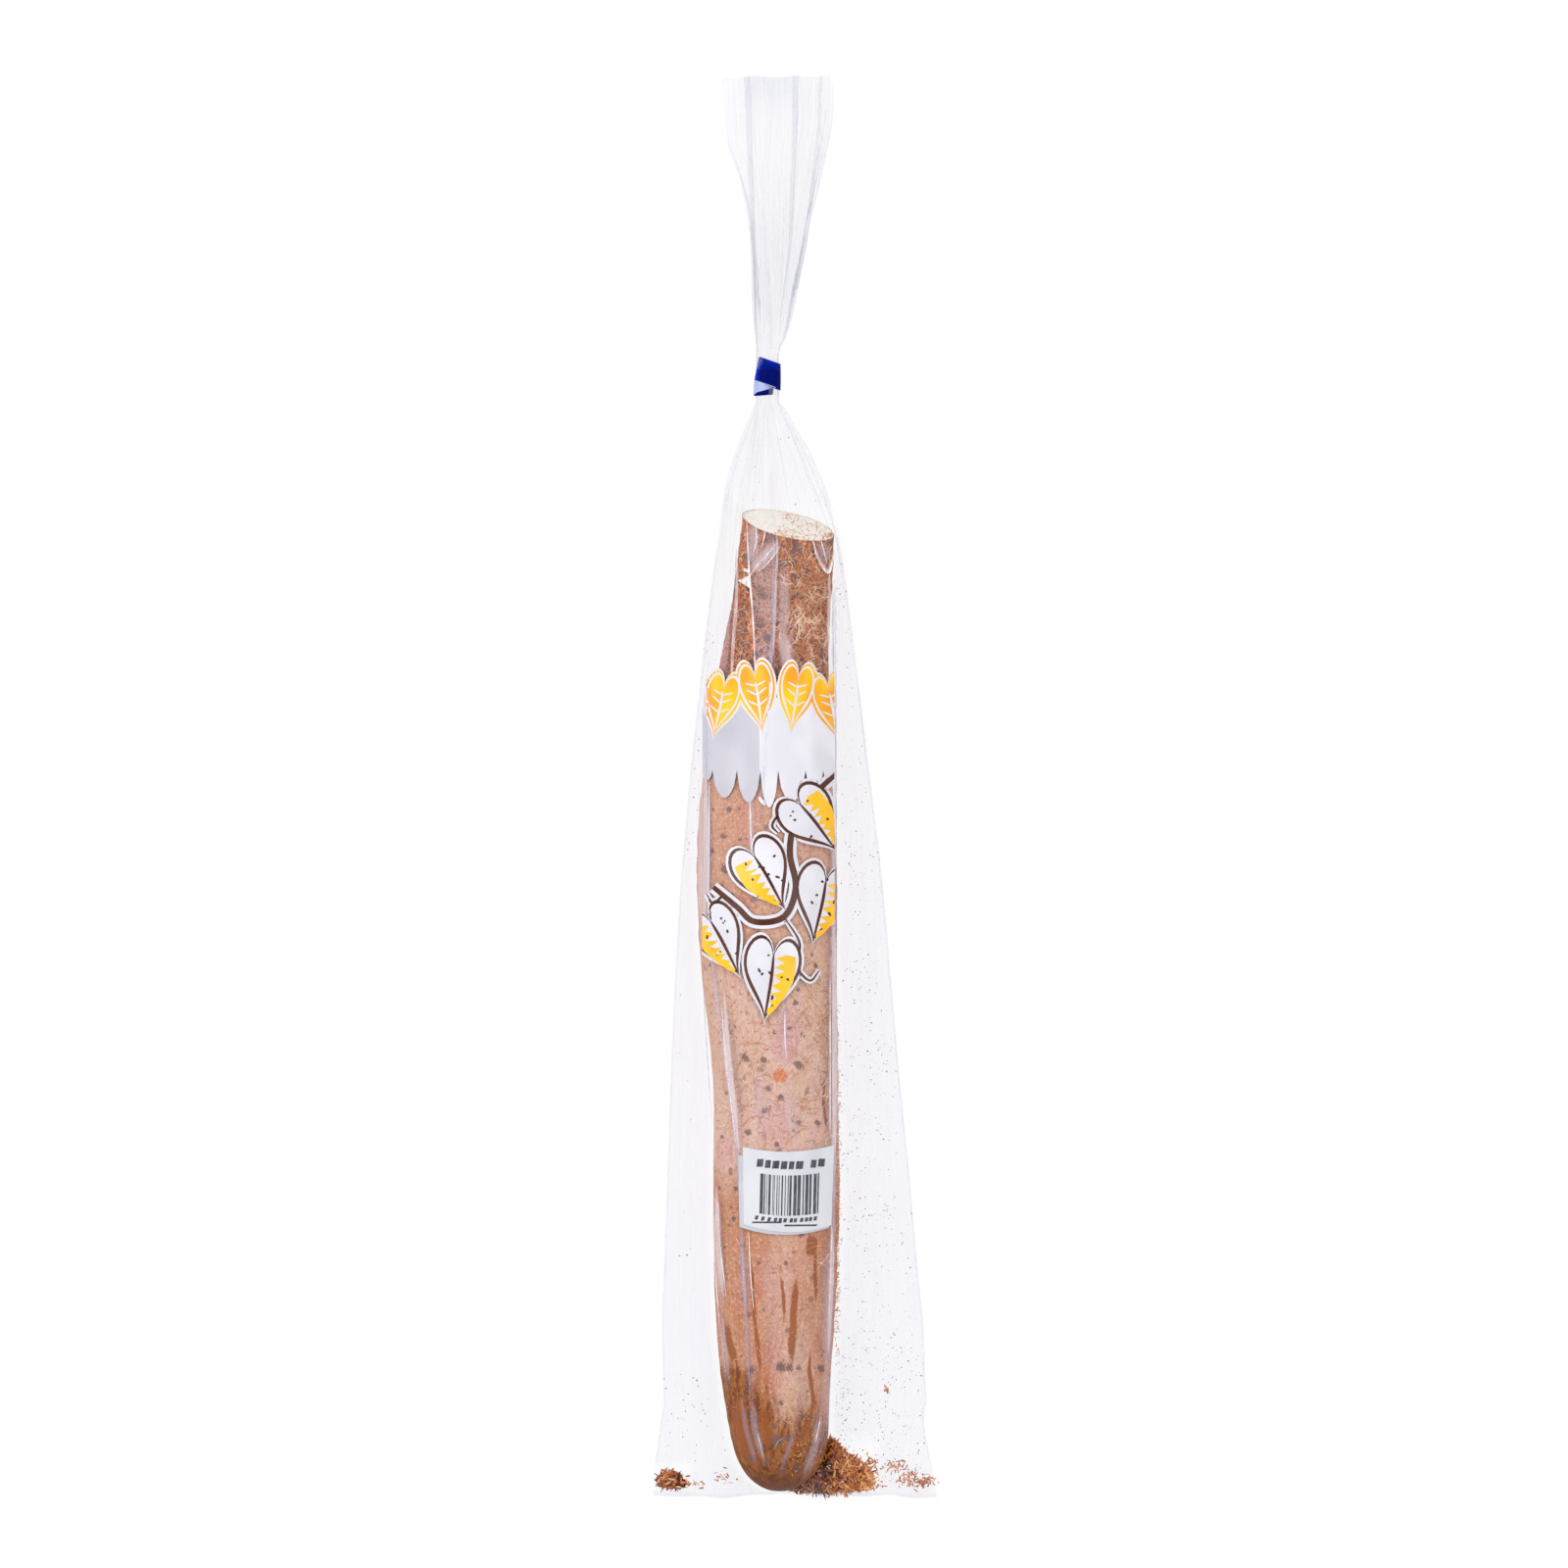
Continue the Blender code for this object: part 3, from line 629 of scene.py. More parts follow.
@dataclass
class Tuber:
    """The tuber: its skin with root scars and wrinkles, and its cut face."""

    form: TuberForm = field(default_factory=TuberForm)
    around: int = 190
    along: int = 400
    cap_rings: int = 26
    face_rings: int = 16
    blend_length: float = 26 * MM
    # Photo pixels: places where the skin lies wet against the film, with half width in millimetres
    wet_paths: Sequence[tuple[float, Path]] = (
        (0.7, ((764, 1258), (767, 1300), (769, 1334), (776, 1399))),
        (0.9, ((769, 1334), (777, 1402), (779, 1410))), (2.5, ((827, 1256), (829, 1270), (824, 1284))),
        (0.9, ((833, 1262), (832, 1300), (833, 1335))),
        (1.6, ((816, 1288), (812, 1310), (810, 1340), (808, 1375), (806, 1412))),
        (0.9, ((828, 1356), (826, 1397), (830, 1432), (821, 1460), (805, 1497))),
        (1.4, ((832, 1425), (822, 1458), (806, 1494))), (1.7, ((740, 1340), (745, 1370), (752, 1400))),
        (1.5, ((779, 1425), (782, 1455), (784, 1487))),
        (3.4, ((748, 1415), (754, 1445), (764, 1480), (780, 1512))),
        (0.5, ((842, 1085), (840, 1125), (845, 1165))), (0.7, ((796, 1290), (800, 1330), (801, 1360))),
    )
    # Photo pixels and radius in millimetres: dark root scars
    scars: Rows = (
        (790, 1053, 1.0), (761, 1080, 1.6), (779, 1081, 1.5), (816, 1087, 1.7), (784, 1110, 1.3),
        (797, 1119, 1.5), (780, 1133, 1.3), (763, 1155, 1.2), (793, 1167, 1.3), (815, 1145, 1.5),
        (834, 1145, 1.4), (840, 1107, 1.0), (742, 1115, 0.9), (737, 1160, 1.0), (822, 1121, 0.8),
        (734, 1212, 0.8), (751, 1212, 1.1), (749, 1243, 1.1), (728, 1238, 0.8), (818, 1258, 1.4),
        (758, 1270, 1.1), (739, 1272, 0.9), (802, 1288, 1.1), (774, 1288, 1.0), (766, 1397, 1.9),
        (797, 1394, 2.4), (805, 1394, 2.0), (838, 1396, 1.7), (815, 1395, 1.2), (797, 1431, 1.2),
        (760, 1445, 1.0), (783, 1490, 1.3), (768, 1488, 1.3), (812, 1497, 1.6), (800, 1503, 1.1),
        (793, 1469, 2.8), (804, 1467, 1.9), (773, 1465, 0.9), (790, 1455, 1.2), (744, 825, 1.1),
        (728, 826, 0.8), (754, 825, 0.7), (738, 853, 1.3), (755, 857, 1.0), (726, 868, 1.4),
        (749, 865, 1.1), (740, 887, 2.0), (722, 905, 1.2), (746, 1053, 1.0), (819, 1055, 1.3),
        (759, 1078, 1.9), (814, 1085, 1.6), (806, 1049, 1.1), (812, 1023, 1.4), (814, 1009, 1.0),
        (832, 985, 0.9), (812, 562, 3.4), (823, 583, 1.6), (798, 576, 1.9), (776, 606, 1.9),
        (781, 609, 1.2), (825, 614, 2.0), (758, 627, 1.8), (776, 636, 2.6), (759, 645, 1.9),
        (805, 640, 1.6), (812, 598, 1.3), (836, 600, 1.6), (838, 667, 1.9), (813, 629, 1.7),
        (759, 656, 1.4), (763, 568, 1.6), (786, 550, 2.0), (848, 553, 1.9), (845, 565, 1.4),
        (805, 551, 1.6), (846, 672, 1.5), (809, 574, 2.4), (811, 589, 2.0), (814, 606, 2.0),
        (770, 622, 1.8), (783, 652, 2.0), (772, 668, 1.7),
    )
    # Photo pixels: where the skin is rosier, with half width in millimetres
    rosy_paths: Sequence[tuple[float, Path]] = (
        (7.0, ((790, 1115), (792, 1175))), (5.0, ((812, 1010), (806, 1060), (802, 1105))),
        (3.5, ((792, 1050), (794, 1090))), (9.0, ((788, 1255), (793, 1300), (792, 1350))),
        (7.0, ((795, 1350), (796, 1430))), (3.0, ((835, 1340), (836, 1420))),
        (4.0, ((740, 1150), (741, 1200))), (4.0, ((745, 900), (746, 960))),
        (4.6, ((781, 548), (778, 600), (779, 650), (782, 700))),
        (3.2, ((797, 585), (799, 630), (806, 670), (814, 700))), (2.2, ((848, 600), (847, 690))),
    )
    vent: tuple[float, float, float] = (796.0, 1097.0, 3.1)

    def build(self, finish: SkinFinish) -> Piece:
        """Builds the piece that stands for the node yam.

        Args:
            finish: The skin's finish.

        Returns:
            The new object.
        """
        form = self.form
        steps = np.linspace(0, 1, self.cap_rings + 1)[1:]
        cap = form.tip_length * (1 - np.cos(steps * math.pi / 2))
        start = form.cut_y - form.tip_y - self.blend_length
        body = np.linspace(form.tip_length, start, self.along - self.cap_rings)[1:]
        last = np.linspace(0, 1, self.cap_rings)[1:]
        straight = np.concatenate([cap, body])
        angle = np.arange(self.around) / self.around * math.tau
        from_tip = np.repeat(straight[:, None], self.around, 1)
        edge_x, edge_z = self.ring_at(np.full(self.around, start + self.blend_length), angle)
        cut = form.cut_at(edge_x, edge_z) - form.tip_y
        slanted = start + (cut[None, :] - start) * last[:, None]
        from_tip = np.concatenate([from_tip, slanted])
        angles = np.broadcast_to(angle, from_tip.shape)
        middle, height, half_width, half_depth = form.section(from_tip)
        x = middle + half_width * np.cos(angles)
        z = height + half_depth * np.sin(angles)
        y = form.tip_y + from_tip
        out = self.relief(angles, from_tip, half_width, np.stack([x, y, z], -1))
        x = x + out * np.cos(angles)
        z = np.maximum(z + out * np.sin(angles), form.underside)
        points = np.stack([x, y, z], -1)
        rings = len(points)
        tip_middle, tip_height, _, _ = form.section(np.array(0.0))
        grid = points.reshape(-1, 3).tolist()
        faces: list[tuple[int, ...]] = list(tube_faces(rings, self.around))
        grid.append([float(tip_middle), form.tip_y, float(tip_height)])
        tip = len(grid) - 1
        faces += [((k + 1) % self.around, k, tip) for k in range(self.around)]
        rim = points[-1]
        centre = rim.mean(0)
        first_face = len(grid)
        shares = np.concatenate([[0.985], np.linspace(0.95, 0, self.face_rings)[:-1]])
        dips = [self.face_relief(centre + (rim - centre) * share) for share in shares]
        for ring in dips:
            grid += ring.tolist()
        grid.append(centre.tolist())
        outer = (rings - 1) * self.around
        for index in range(len(dips)):
            low = first_face + index * self.around
            for k in range(self.around):
                after = (k + 1) % self.around
                faces.append((outer + k, outer + after, low + after, low + k))
            outer = low
        faces += [(outer + k, outer + (k + 1) % self.around, len(grid) - 1) for k in range(self.around)]
        everything = np.array(grid)
        is_cut = np.zeros(len(grid))
        is_cut[first_face:] = 1
        rim_share = np.zeros(len(grid))
        rim_share[outer_ring(rings, self.around)] = 1
        rim_share[first_face:-1] = np.repeat(shares, self.around)
        paint = self.paint(everything)
        paint |= {"cut": is_cut, "rim": rim_share}
        piece = make_piece("yam_tuber", grid, faces, finish.material(), 45, paint)
        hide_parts("yam")
        return piece

    def ring_at(self, from_tip: Array, angle: Array) -> tuple[Array, Array]:
        """x and z of the plain section's outline at some angles."""
        middle, height, half_width, half_depth = self.form.section(from_tip)
        return middle + half_width * np.cos(angle), height + half_depth * np.sin(angle)

    def relief(self, angle: Array, from_tip: Array, half_width: Array, points: Array) -> Array:
        """How far the skin stands out of the plain section.

        Args:
            angle: Angle round the tuber of each point.
            from_tip: Its distance from the tip.
            half_width: The section's half width there.
            points: The points themselves.

        Returns:
            The distance outwards, in metres.
        """
        form = self.form
        out = 0.45 * MM * swell(points, (38 * MM, 38 * MM, 38 * MM))
        out += 0.22 * MM * swell(points, (7 * MM, 9 * MM, 7 * MM), 1.7)
        bark = ramp(215, 330, from_tip)
        out += (0.12 + 0.22 * bark) * MM * swell(points, (2.4 * MM, 3.6 * MM, 2.4 * MM), 3.1)
        out += 0.16 * MM * bark * swell(points, (9 * MM, 1.7 * MM, 9 * MM), 5.9)
        for nub_angle, nub_at in form.nubs():
            turn = (angle - nub_angle + math.pi) % math.tau - math.pi
            away = np.hypot(turn * half_width, from_tip - nub_at) / form.nub_radius
            out += form.nub_height * (np.exp(-(away**2)) - 0.55 * np.exp(-((away * 2.6) ** 2)))
        return out * np.minimum(1, half_width / (6 * MM))

    @staticmethod
    def face_relief(ring: Array) -> Array:
        """Gives a ring of the cut face its slight saw marks.

        Args:
            ring: The ring's points.

        Returns:
            The moved points.
        """
        dent = swell(ring, (1.6 * MM, 1.6 * MM, 5 * MM), 2.2) * 0.12 * MM
        dent += swell(ring, (9 * MM, 9 * MM, 9 * MM), 4.2) * 0.25 * MM
        moved = ring.copy()
        moved[:, 1] += dent - 0.1 * MM
        return moved

    def paint(self, points: Array) -> dict[str, Array]:
        """Where the skin is bark-like, tip-coloured and wet, and where shade is painted on it.

        Args:
            points: All the points.

        Returns:
            A value for each point, by the finish's names.
        """
        x, y, z = points.T
        bark = ramp(6, 46, y) + 0.35 * ramp(14, 17, x) * ramp(-150, -60, y)
        off = np.abs(x + 3 * MM)
        lower = 10 * MM * ramp(9, 3, off) + 9 * MM * ramp(0, 8, x)
        tip = ramp(-228, -286, y + lower)
        side = ramp(-12, -25, x) * ramp(-235, -262, y)
        wet = np.zeros(len(points))
        for half_width, path in self.wet_paths:
            wet = np.maximum(wet, soft_band(x, y, path, half_width * MM, 0.35))
        rosy = np.zeros(len(points))
        for half_width, path in self.rosy_paths:
            rosy = np.maximum(rosy, soft_band(x, y, path, half_width * MM, 0.3))
        on_top = z > 15 * MM
        scar = np.zeros(len(points))
        for across, down, radius in self.scars:
            sx, sy = seen(across, down)
            away = np.hypot(x - sx, y - sy) / (radius * 0.95 * MM)
            scar = np.maximum(scar, np.exp(-(away**2)))
        vx, vy = seen(*self.vent[:2])
        vent = eased(self.vent[2] * 1.06 * MM, self.vent[2] * 0.88 * MM, np.hypot(x - vx, y - vy))
        # Painted shade: darker on the low flanks towards the tip, darkest along the tip's bottom rim as a
        # contact shadow
        shade = ramp(20, 5, z) * ramp(-120, -270, y)
        shade = np.maximum(shade, 1.15 * ramp(-286, -298, y))
        torn = ramp(-4, 14, x) * 0.45 - 0.2
        core = ramp(13, 5, np.abs(x + 1 * MM - 10 * MM * eased(-120 * MM, 0, y)))
        ruddy = 0.48 * ramp(-90, -60, y) + 0.60 * ramp(-148, -175, y)
        ruddy *= 1 - 0.34 * core
        return {
            "rosy": rosy,
            "ruddy": ruddy,
            "shade": shade,
            "torn": torn,
            "bark": bark,
            "tip": np.clip(tip + side, 0, 1),
            "wet": wet * on_top,
            "scar": scar * on_top,
            "vent": vent * on_top,
        }


def outer_ring(rings: int, around: int) -> slice:
    """The numbers of the last ring's vertices."""
    return slice((rings - 1) * around, rings * around)


@dataclass(frozen=True)
class FilmFinish:
    """Clear glossy film with a faint lavender veil that thickens where the film is folded or stands off, and
    where sheen is painted.
    """

    tint: Colour = (0.45, 0.435, 0.64)
    smoke: Colour = (0.49, 0.49, 0.59)
    # Also the colour of the painted sheen bands
    milk: Colour = (0.70, 0.62, 0.67)
    gloss: float = 0.16
    # How finely the pleats' streaks are drawn, across the film's width and along the bag
    pleat_pitch: float = 150
    pleat_run: float = 22

    def material(self) -> Material:
        """Builds the film."""
        bench = Bench("clear_film")
        veil, gather = bench.painted("veil"), bench.painted("gather")
        pleats = bench.tree.nodes.new("ShaderNodeCombineXYZ")
        place = bench.tree.nodes.new("ShaderNodeSeparateXYZ")
        bench.feed(place.inputs[0], bench.here)
        bench.feed(pleats.inputs["X"], bench.times(bench.painted("lap"), self.pleat_pitch))
        bench.feed(pleats.inputs["Y"], bench.times(place.outputs["Y"], self.pleat_run))
        streaks = bench.grain(pleats.outputs[0], 4, 0.75, 0.3)
        threads = bench.times(bench.between(0.50, 0.78, streaks, 0, 0.36), gather)
        sparse = bench.grain(bench.stretched(1.1, 70, 3.0), 3, 0.7)
        sparse = bench.between(0.64, 0.74, sparse, 0, 0.035)
        cloud = bench.grain(bench.stretched(12, 45, 12), 3)
        cloud = bench.times(bench.centred(cloud), 0.03)
        edge = bench.tree.nodes.new("ShaderNodeLayerWeight")
        edge.inputs["Blend"].default_value = 0.28
        rise = bench.times(bench.sums("POWER", edge.outputs["Facing"], 2.6), 0.07)
        patchy = bench.grain(bench.stretched(2.2, 24, 6), 4, 0.7, 0.5)
        mottled = bench.times(veil, bench.lever(bench.between(0.3, 0.7, patchy), 0.36, 0.82))
        solid = bench.plus(bench.plus(mottled, threads), bench.plus(cloud, rise))
        solid = bench.sums("ADD", solid, sparse, True)
        tone = bench.stain(self.tint, self.smoke, gather, 0.03, 0.35)
        milky = bench.times(bench.between(0.14, 0.34, veil), bench.between(0.70, 0.58, gather))
        crinkle = bench.grain(bench.stretched(2.5, 40, 4), 4, 0.6, 0.3)
        bench.relief(crinkle, 0.35, 0.6)
        return bench.dress(
            Base_Color=bench.blend(milky, tone, self.milk),
            Alpha=solid,
            Roughness=self.gloss,
            Specular_IOR_Level=0.26,
        )


@dataclass
class Fold:
    """A lengthwise tuck of the film: over, back under itself and on."""

    path: Path
    depth: Path
    rise: float = 0.22 * MM

    def at(self, y: float) -> tuple[float, float]:
        """The fold's x and depth at y."""
        places = sorted(seen(*corner)[::-1] for corner in self.path)
        x = float(np.interp(y, [p[0] for p in places], [p[1] for p in places]))
        rows = sorted((y_mm * MM, depth * MM) for y_mm, depth in self.depth)
        return x, float(np.interp(y, [r[0] for r in rows], [r[1] for r in rows]))


@dataclass
class FilmBag:
    """The bag's film: one thin sheet from its sealed end to the open mouth of its tail."""

    tuber: TuberForm
    over: int = 186
    under: int = 44
    crowding: float = 0.45
    crowd_at: float = 0.46
    room: float = 0.9 * MM
    floor_gap: float = 0.3 * MM
    seal_y: float = -299.8 * MM
    seal_end: float = -301.2 * MM
    neck_x: float = -11.8 * MM
    neck_y: float = 163 * MM
    neck_z: float = 10 * MM
    neck_radius: float = 1.8 * MM
    mouth_y: float = 302 * MM
    # Millimetres: how far the mouth's edge is cut back, at places across it
    mouth_cut: Path = ((-32, -1.4), (-22, -0.4), (0, -0.4), (15, 0.2), (17, -9))
    # A fold of this depth stands up in full
    full_fold: float = 0.8 * MM
    # Millimetres: along the bag, left edge, right edge, height of both edges
    edges: Rows = (
        (-303, -60.2, 60.2, 0.5), (-299, -60.4, 60.0, 0.9), (-289, -59.8, 58.2, 1.6),
        (-279, -58.6, 56.2, 2.2), (-268, -57.0, 54.7, 2.6), (-260, -56.2, 55.9, 3.0),
        (-248, -56.4, 55.2, 3.5), (-227, -56.8, 54.4, 4.4), (-206, -55.9, 52.2, 5.2),
        (-165, -54.4, 48.6, 7.6), (-123, -53.0, 44.4, 9.9), (-82, -51.2, 40.8, 12.2),
        (-40, -48.6, 37.0, 14.5), (1, -45.0, 32.2, 17.0), (43, -40.5, 27.0, 19.0),
        (84, -35.6, 21.4, 21.0), (109, -31.8, 17.2, 21.5), (126, -29.6, 12.2, 20.0),
        (134, -27.6, 8.9, 18.0), (142, -25.1, 5.4, 16.0), (151, -21.8, 0.6, 13.0),
        (159, -18.6, -3.6, 11.0), (166, -17.2, -6.4, 10.0),
    )
    # Millimetres: along the bag, how far the gathered film stands off the tight shape, its pleats
    gather: Rows = (
        (-301, 0.2, 0.0), (10, 0.25, 0.0), (60, 0.3, 0.25), (105, 0.5, 0.85), (126, 0.9, 1.25),
        (144, 1.5, 1.3), (157, 2.5, 0.7), (163, 2.9, 0.4), (186, 2.9, 0.35),
    )
    # Millimetres: along the tail, left edge, right edge, half height, height of its middle, pleats
    tail: Rows = (
        (163, -16.9, -6.7, 4.9, 10.0, 0.35), (185, -16.8, -6.6, 4.9, 10.0, 0.4),
        (190, -17.2, -4.2, 4.8, 9.8, 0.6), (197, -18.1, -1.8, 4.7, 9.4, 0.9),
        (209, -18.7, 0.8, 4.4, 8.6, 1.2), (230, -19.4, 4.9, 4.2, 7.2, 1.35),
        (242, -20.6, 7.0, 4.1, 6.7, 1.35), (250, -22.4, 9.2, 4.1, 6.3, 1.3),
        (261, -25.4, 11.5, 4.2, 6.0, 1.2), (271, -29.0, 13.9, 4.3, 5.7, 1.1),
        (283, -30.5, 16.0, 4.5, 5.6, 1.0), (302, -31.9, 16.4, 4.7, 5.6, 0.9),
    )
    pleat_waves: tuple[int, ...] = (11, 17, 23, 31, 41)
    folds: tuple[Fold, ...] = (
        Fold(
            (
                (724, 640), (722, 720), (722, 900), (729, 1000), (741, 1090), (752, 1170), (757, 1260),
                (764, 1400), (770, 1490),
            ),
            ((-285, 0.0), (-240, 1.2), (-140, 2.0), (-60, 2.0), (20, 1.5), (80, 0.0)),
        ),
        Fold(
            ((851, 640), (851, 720), (851, 1000), (852, 1150), (850, 1300), (846, 1400), (841, 1480)),
            ((-285, 0.0), (-240, 1.4), (-140, 2.4), (20, 2.6), (60, 2.0), (95, 0.0)),
        ),
        Fold(
            ((790, 560), (789, 640), (780, 760), (776, 840)),
            ((-30, 0.0), (0, 1.2), (60, 1.8), (95, 1.2), (108, 0.0)),
        ),
        Fold(
            ((762, 60), (765, 150), (770, 250), (776, 330)),
            ((195, 0.0), (230, 1.4), (302, 2.6)),
        ),
        Fold(
            ((812, 60), (811, 150), (806, 250), (796, 330)),
            ((195, 0.0), (230, 1.4), (302, 2.6)),
        ),
        Fold(
            ((838, 60), (836, 130), (824, 230), (806, 320)),
            ((200, 0.0), (240, 1.0), (302, 1.5)),
        ),
    )

    def ys(self) -> Array:
        """Where along the bag its rings lie."""
        stretches = (
            (self.seal_end, self.seal_y, 3),
            (self.seal_y + 0.4 * MM, -262 * MM, 46),
            (-262 * MM, 20 * MM, 170),
            (20 * MM, 162 * MM, 104),
            (self.neck_y, 186 * MM, 12),
            (187 * MM, self.mouth_y, 80),
        )
        parts = [np.linspace(*stretch, endpoint=stretch[1] == self.mouth_y) for stretch in stretches]
        return np.concatenate(parts)

    def hull(self) -> tuple[Array, Array]:
        """The edges of the tight convex shape round the tuber and the bag's own edges.

        Returns:
            The first and second ends of all edges.
        """
        bm = bmesh.new()
        form = self.tuber
        at = form.length * np.linspace(0, 1, 110) ** 1.8
        before = np.maximum(1 - at / form.tip_length, 0)
        middle, height, half_width, half_depth = form.section(at)
        room = self.room * np.sqrt(1 - before**2) * (1 + 0.8 * before)
        angle = np.arange(64) / 64 * math.tau
        x = middle[:, None] + (half_width + room)[:, None] * np.cos(angle)
        z = np.maximum(height[:, None] + (half_depth + room)[:, None] * np.sin(angle), self.floor_gap)
        y = np.minimum((form.tip_y + at - self.room * before)[:, None], form.cut_at(x, z) + self.room)
        points = np.stack([x, y, z], -1).reshape(-1, 3).tolist()
        seal = self.edges[0]
        points += [(seal[1] * MM, self.seal_y, 0.5 * MM), (seal[2] * MM, self.seal_y, 0.5 * MM)]
        for along, left, right, up in self.edges[2:]:
            inset = table_row(self.gather, along * MM)[0] + 0.1 * MM
            points += [(left * MM + inset, along * MM, up * MM), (right * MM - inset, along * MM, up * MM)]
        points += [tuple(value * MM for value in place) for place in PROPPED_FILM]
        for turn in (math.tau * k / 24 for k in range(24)):
            x, z = self.neck_radius * math.cos(turn), self.neck_radius * math.sin(turn)
            points.append((self.neck_x + x, self.neck_y, self.neck_z + z))
        for point in points:
            bm.verts.new(point)
        made = bmesh.ops.convex_hull(bm, input=bm.verts)["geom"]
        edges = [edge for edge in made if isinstance(edge, bmesh.types.BMEdge)]
        ends = np.array([[tuple(corner.co) for corner in edge.verts] for edge in edges])
        bm.free()
        return ends[:, 0], ends[:, 1]

    def outline(self, hull: tuple[Array, Array], y: float) -> tuple[Array, Array]:
        """The tight shape's upper and lower outline at y.

        Args:
            hull: The ends of its edges.
            y: Where it is cut.

        Returns:
            Points (x, z) over the top from left to right, and below from right to left.
        """
        first, second = hull
        crossing = (first[:, 1] - y) * (second[:, 1] - y) < 0
        a, b = first[crossing], second[crossing]
        share = ((y - a[:, 1]) / (b[:, 1] - a[:, 1]))[:, None]
        cut = (a + (b - a) * share)[:, (0, 2)]
        ring = cut[convex_hull_2d([tuple(p) for p in cut])]
        left = int(np.argmin(ring[:, 0]))
        ring = np.roll(ring, -left, axis=0)
        right = int(np.argmax(ring[:, 0]))
        upper = ring[: right + 1]
        lower = np.concatenate([ring[right:], ring[:1]])
        if upper[:, 1].mean() < lower[:, 1].mean():
            upper, lower = lower[::-1], upper[::-1]
        return upper, lower

    def tail_outline(self, y: float) -> tuple[Array, Array]:
        """The tail's upper and lower outline at y, in the order of outline.

        Args:
            y: Where it is cut.

        Returns:
            Points (x, z), as from outline.
        """
        left, right, half_height, height, _ = table_row(self.tail, y)
        turn = np.linspace(math.pi, 0, 60)
        x = (left + right) / 2 + (right - left) / 2 * np.cos(turn)
        bulge = half_height * np.sin(turn) ** 0.8
        upper = np.stack([x, height + bulge], -1)
        lower = np.stack([x, np.maximum(height - bulge, self.floor_gap)], -1)[::-1]
        return upper, lower

    def share_along(self, count: int, on_top: bool) -> Array:
        """Steps from 0 to 1, closer together over the tuber on top and towards both ends below.

        Args:
            count: How many steps there are.
            on_top: Whether this is the upper side.

        Returns:
            The shares, one more than the steps.
        """
        even = np.linspace(0, 1, count + 1)
        if not on_top:
            return (even * 1.3 + (1 - np.cos(math.pi * even)) / 2 * 0.7) / 2
        swing = self.crowding / math.tau
        warped = even - swing * np.sin(math.tau * (even - self.crowd_at))
        return (warped - warped[0]) / (warped[-1] - warped[0])

    def laid(self, chain: Array, y: float, count: int, on_top: bool) -> tuple[Array, Array, Array]:
        """Lays count + 1 points of the sheet along a chain, with its folds.

        Args:
            chain: The outline's points (x, z).
            y: Where the outline is along the bag.
            count: How many steps to make.
            on_top: Whether this is the upper side, which has the folds.

        Returns:
            The points (x, z), how far each stands off for its layer, and how folded the film is there.
        """
        lengths = np.concatenate([[0], np.cumsum(np.hypot(*np.diff(chain, axis=0).T))])
        total = lengths[-1]
        share = self.share_along(count, on_top)
        stand = np.zeros(count + 1)
        layers = np.zeros(count + 1)
        if on_top:
            sheet = share.copy()
            for fold in self.folds:
                x, depth = fold.at(y)
                if depth <= 0 or not chain[0, 0] < x < chain[-1, 0]:
                    continue
                centre = float(np.interp(x, chain[:, 0], lengths)) / total
                away = (sheet - centre) * total / (depth * 1.15)
                share = share - depth / total * 3.3 * away * np.exp(-2 * away**2)
                over = eased(-3.2, -0.9, away) * eased(0.75, -0.75, away)
                stand = stand + 2 * fold.rise * over * min(depth / self.full_fold, 1)
                layers = np.maximum(layers, np.exp(-((away / 0.7) ** 4)) * min(depth / self.full_fold, 1))
        share = np.clip(share, 0, 1)
        x = np.interp(share * total, lengths, chain[:, 0])
        z = np.interp(share * total, lengths, chain[:, 1])
        return np.stack([x, z], -1), stand, layers

    def fitted(self, ring: Array, y: float) -> Array:
        """Brings a ring's far left and right to the bag's measured edges.

        Args:
            ring: The ring's points (x, z).
            y: Where it lies along the bag.

        Returns:
            The moved points.
        """
        left, right, _ = table_row(self.edges, y)
        gather = table_row(self.gather, y)[0]
        middle, _, half_width, _ = (float(v) for v in self.tuber.section(np.array(y - self.tuber.tip_y)))
        fitted = ring.copy()
        for edge, inner, aim in (
            (ring[:, 0].min(), middle - half_width - 2 * MM, left + gather),
            (ring[:, 0].max(), middle + half_width + 2 * MM, right - gather),
        ):
            if y > 95 * MM:
                inner = self.neck_x
            beyond = (ring[:, 0] - inner) / (edge - inner)
            fitted[:, 0] += np.clip(beyond, 0, 1) * (aim - edge)
        return fitted

    def build(self, finish: FilmFinish) -> Piece:
        """Builds the piece that stands for the node bag.

        Args:
            finish: The film's finish.

        Returns:
            The new object.
        """
        hull = self.hull()
        ys = self.ys()
        around = self.over + self.under
        turn = np.arange(around) / around
        draw = random.Random(4)
        phases = [draw.uniform(0, math.tau) for _ in self.pleat_waves]
        waves = sum(np.cos(math.tau * k * turn + phase) for k, phase in zip(self.pleat_waves, phases))
        waves = waves / np.abs(waves).max()
        points = np.zeros((len(ys), around, 3))
        veil = np.zeros((len(ys), around))
        for row, y in enumerate(ys):
            in_tail = y > 162.5 * MM
            if y <= self.seal_y:
                chains = self.seal_outline()
            elif in_tail:
                chains = self.tail_outline(y)
            else:
                chains = self.outline(hull, y)
            over, stand, layers = self.laid(chains[0], y, self.over, True)
            under, _, _ = self.laid(chains[1], y, self.under, False)
            ring = np.concatenate([over[:-1], under[:-1]])
            off = np.concatenate([stand[:-1], np.zeros(self.under)])
            if in_tail:
                pleat = table_row(self.tail, y)[4]
                push = -pleat
                smooth_flap = 1 - 0.75 * ramp(235, 290, y) * self.flap(ring[:, 0])
            else:
                ring = self.fitted(ring, y) if y > self.seal_y else ring
                push, pleat = table_row(self.gather, y)
                smooth_flap = 1.0
            along = np.roll(ring, -1, axis=0) - np.roll(ring, 1, axis=0)
